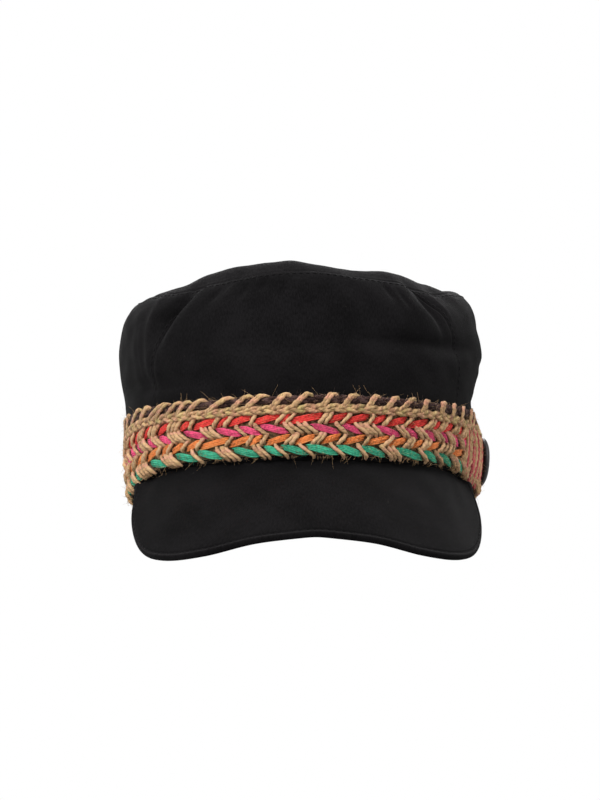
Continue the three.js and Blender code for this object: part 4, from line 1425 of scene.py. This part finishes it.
class CapClothSettings(bpy.types.PropertyGroup):
    """Colours, wear with painted highlight, and weave of the crown and peak"""
    colour: colour_property("Twill", "Colour of the black twill", "#100f10")
    # Paler twill where the dye has rubbed off, which also gives the painted highlights on the roll and the
    # peak's edge
    worn_and_highlit_colour: colour_property("Worn twill", "Colour where the dye has rubbed off", "#363435")
    # How strongly the mask of rubbed dye and painted highlight shows
    wear: bpy.props.FloatProperty(name="Wear", description="How much dye has rubbed off the ridges",
                                  subtype="FACTOR", min=0, max=1, default=0.45)
    twill_pitch: length_property("Twill pitch", "Distance from rib to rib of the twill", 0.8)
    grid_step: length_property("Grid step", "Distance between points of the cloth's mesh", 1.35)


class CapBandSettings(bpy.types.PropertyGroup):
    """Colours of the band's strands, and its loose fibres"""
    jute: colour_property("Jute", "Colour of the natural jute", "#cda577")
    brown: colour_property("Brown", "Colour of the cord along the top", "#3b2723")
    red: colour_property("Red", "Colour of the red yarn", "#f84b45")
    magenta: colour_property("Magenta", "Colour of the magenta yarn", "#fb5c88")
    orange: colour_property("Orange", "Colour of the orange yarn", "#ff9251")
    green: colour_property("Green", "Colour of the green yarn", "#48b48e")
    fuzz_length: length_property("Fuzz length", "Length of the longest loose fibres", 4.0)
    fuzz_count: bpy.props.IntProperty(name="Fuzz count", description="Number of loose jute fibres",
                                      min=0, default=5600)


class CapButtonSettings(bpy.types.PropertyGroup):
    """Colour of the button"""
    colour: colour_property("Horn", "Colour of the button", "#150d0c")


class CapStageSettings(bpy.types.PropertyGroup):
    """Floor and camera"""
    floor: colour_property("Floor", "Colour of the floor", "#ffffff")
    distance: length_property("Camera distance", "From the camera to the middle of the crown", 1100)
    turn: angle_property("Camera turn", "Angle of the camera round the cap", -3.2)
    rise: angle_property("Camera rise", "Angle of the camera above level", 2.5)


# Operators

class CAP_OT_crown(bpy.types.Operator):
    """Make the twill crown from three side panels and a top"""
    bl_idname = "cap.make_crown"
    bl_label = "Crown"

    def execute(self, context):
        settings = context.scene.cap_cloth
        step = settings.grid_step / MM
        material = twill_material("crown_twill", settings, 1.0)
        gap = SEAM_GAP_DEGREES / 2
        edges = {
            "crown_front_panel": (lambda run: gap - side_seam(run), lambda run: side_seam(run) - gap),
            "crown_right_panel": (lambda run: side_seam(run) + gap, lambda run: 180 - gap + 0 * run),
            "crown_left_panel": (lambda run: gap - 180 + 0 * run, lambda run: -gap - side_seam(run)),
        }
        for name, (start_at, end_at) in edges.items():
            make_panel(name, start_at, end_at, step, material)
        make_top(step, material)
        return {"FINISHED"}


class CAP_OT_peak(bpy.types.Operator):
    """Make the stiffened peak with its rolled edge"""
    bl_idname = "cap.make_peak"
    bl_label = "Peak"

    def execute(self, context):
        settings = context.scene.cap_cloth
        # The peak takes a darker copy of the twill, as painted shade, since it faces the lamps more than the
        # crown
        make_peak(settings.grid_step / MM, twill_material("peak_twill", settings, 0.8))
        return {"FINISHED"}


class CAP_OT_topstitching(bpy.types.Operator):
    """Make the topstitching along the seams and the peak"""
    bl_idname = "cap.make_topstitching"
    bl_label = "Topstitching"

    def execute(self, context):
        colour = context.scene.cap_cloth.colour
        make_topstitching(strand_material("black_thread", colour, FINISHES["black_thread"]))
        return {"FINISHED"}


class CAP_OT_band_ground(bpy.types.Operator):
    """Make the band's woven ground"""
    bl_idname = "cap.make_band_ground"
    bl_label = "Band ground"

    def execute(self, context):
        # The ground is the jute darkened to a share, as painted shade in the gaps between the strands
        colour = [GROUND.shade * channel for channel in context.scene.cap_band.jute]
        make_backing(strand_material("jute_ground", colour, FINISHES["jute_ground"]))
        return {"FINISHED"}


class CAP_OT_cords(bpy.types.Operator):
    """Make the brown cord, the jute plait, the hooks that bind them and the end at the lap"""
    bl_idname = "cap.make_cords"
    bl_label = "Cords and hooks"

    def execute(self, context):
        settings = context.scene.cap_band
        jute = strand_material("jute_strand", settings.jute, FINISHES["jute_strand"])
        make_braid(BROWN_CORD, strand_material("brown_strand", settings.brown, FINISHES["brown_strand"]))
        make_braid(JUTE_PLAIT, jute)
        make_hooks(jute)
        make_lap_end(jute, strand_material("lap_wool", linear(LAP_WOOL), FINISHES["lap_wool"]))
        return {"FINISHED"}


class CAP_OT_yarn(bpy.types.Operator):
    """Make the four rows of coloured yarn and the jute strands between their stitches"""
    bl_idname = "cap.make_yarn"
    bl_label = "Yarn rows"

    def execute(self, context):
        settings = context.scene.cap_band
        for row in BAND_ROWS:
            wool = strand_material(f"{row.name}_wool", getattr(settings, row.name), FINISHES["row_wool"])
            make_yarn_row(row, wool)
            make_yarn_fuzz(row, wool)
        jute = bpy.data.materials["jute_strand"]
        make_strands("jute_strands_low", BAND_ROWS[:2], jute, STRAND_SEEDS.low)
        make_strands("jute_strands_high", BAND_ROWS[2:], jute, STRAND_SEEDS.high)
        return {"FINISHED"}


class CAP_OT_fuzz(bpy.types.Operator):
    """Make the loose fibres that stand off the band"""
    bl_idname = "cap.make_fuzz"
    bl_label = "Fuzz"

    def execute(self, context):
        settings = context.scene.cap_band
        colours = {"jute_fibre": settings.jute, "brown_fibre": settings.brown}
        finishes = {name: strand_material(name, colour, FINISHES[name]) for name, colour in colours.items()}
        for fuzz in FUZZES:
            make_fuzz(fuzz, round(settings.fuzz_count * fuzz.share), fuzz.reach * settings.fuzz_length / MM,
                      finishes[fuzz.finish])
        return {"FINISHED"}


class CAP_OT_button(bpy.types.Operator):
    """Make the round button on the lap"""
    bl_idname = "cap.make_button"
    bl_label = "Button"

    def execute(self, context):
        make_button(horn_material(context.scene.cap_button))
        return {"FINISHED"}


class CAP_OT_stage(bpy.types.Operator):
    """Make the floor, the soft lights and the camera"""
    bl_idname = "cap.make_stage"
    bl_label = "Stage"

    def execute(self, context):
        settings = context.scene.cap_stage
        make_floor(settings)
        make_lights()
        make_camera(settings)
        return {"FINISHED"}


class CAP_PT_panel(bpy.types.Panel):
    """Lists the settings and makers of the cap's pieces"""
    bl_label = "Cadet Cap"
    bl_idname = "CAP_PT_panel"
    bl_space_type = "VIEW_3D"
    bl_region_type = "UI"
    bl_category = "Cap"

    def draw(self, context):
        for group in SETTINGS:
            box = self.layout.box()
            values = getattr(context.scene, group)
            for name in values.bl_rna.properties.keys():
                if name not in ("rna_type", "name"):
                    box.prop(values, name)
        for operator in OPERATORS:
            self.layout.operator(operator.bl_idname)


SETTINGS = {
    "cap_cloth": CapClothSettings,
    "cap_band": CapBandSettings,
    "cap_button": CapButtonSettings,
    "cap_stage": CapStageSettings,
}
OPERATORS = (CAP_OT_crown, CAP_OT_peak, CAP_OT_topstitching, CAP_OT_band_ground, CAP_OT_cords,
             CAP_OT_yarn, CAP_OT_fuzz, CAP_OT_button, CAP_OT_stage)
CLASSES = (*SETTINGS.values(), *OPERATORS, CAP_PT_panel)


def register():
    """Registers the classes and hangs the settings on the scene."""
    for kind in CLASSES:
        bpy.utils.register_class(kind)
    for name, kind in SETTINGS.items():
        setattr(bpy.types.Scene, name, bpy.props.PointerProperty(type=kind))


def unregister():
    """Takes the settings off the scene and the classes out again."""
    for name in SETTINGS:
        delattr(bpy.types.Scene, name)
    for kind in reversed(CLASSES):
        bpy.utils.unregister_class(kind)


def main():
    """Makes the whole cap and its stage."""
    register()
    bpy.ops.cap.make_crown()
    bpy.ops.cap.make_peak()
    bpy.ops.cap.make_topstitching()
    bpy.ops.cap.make_band_ground()
    bpy.ops.cap.make_cords()
    bpy.ops.cap.make_yarn()
    bpy.ops.cap.make_fuzz()
    bpy.ops.cap.make_button()
    bpy.ops.cap.make_stage()


if __name__ == "__main__":
    main()
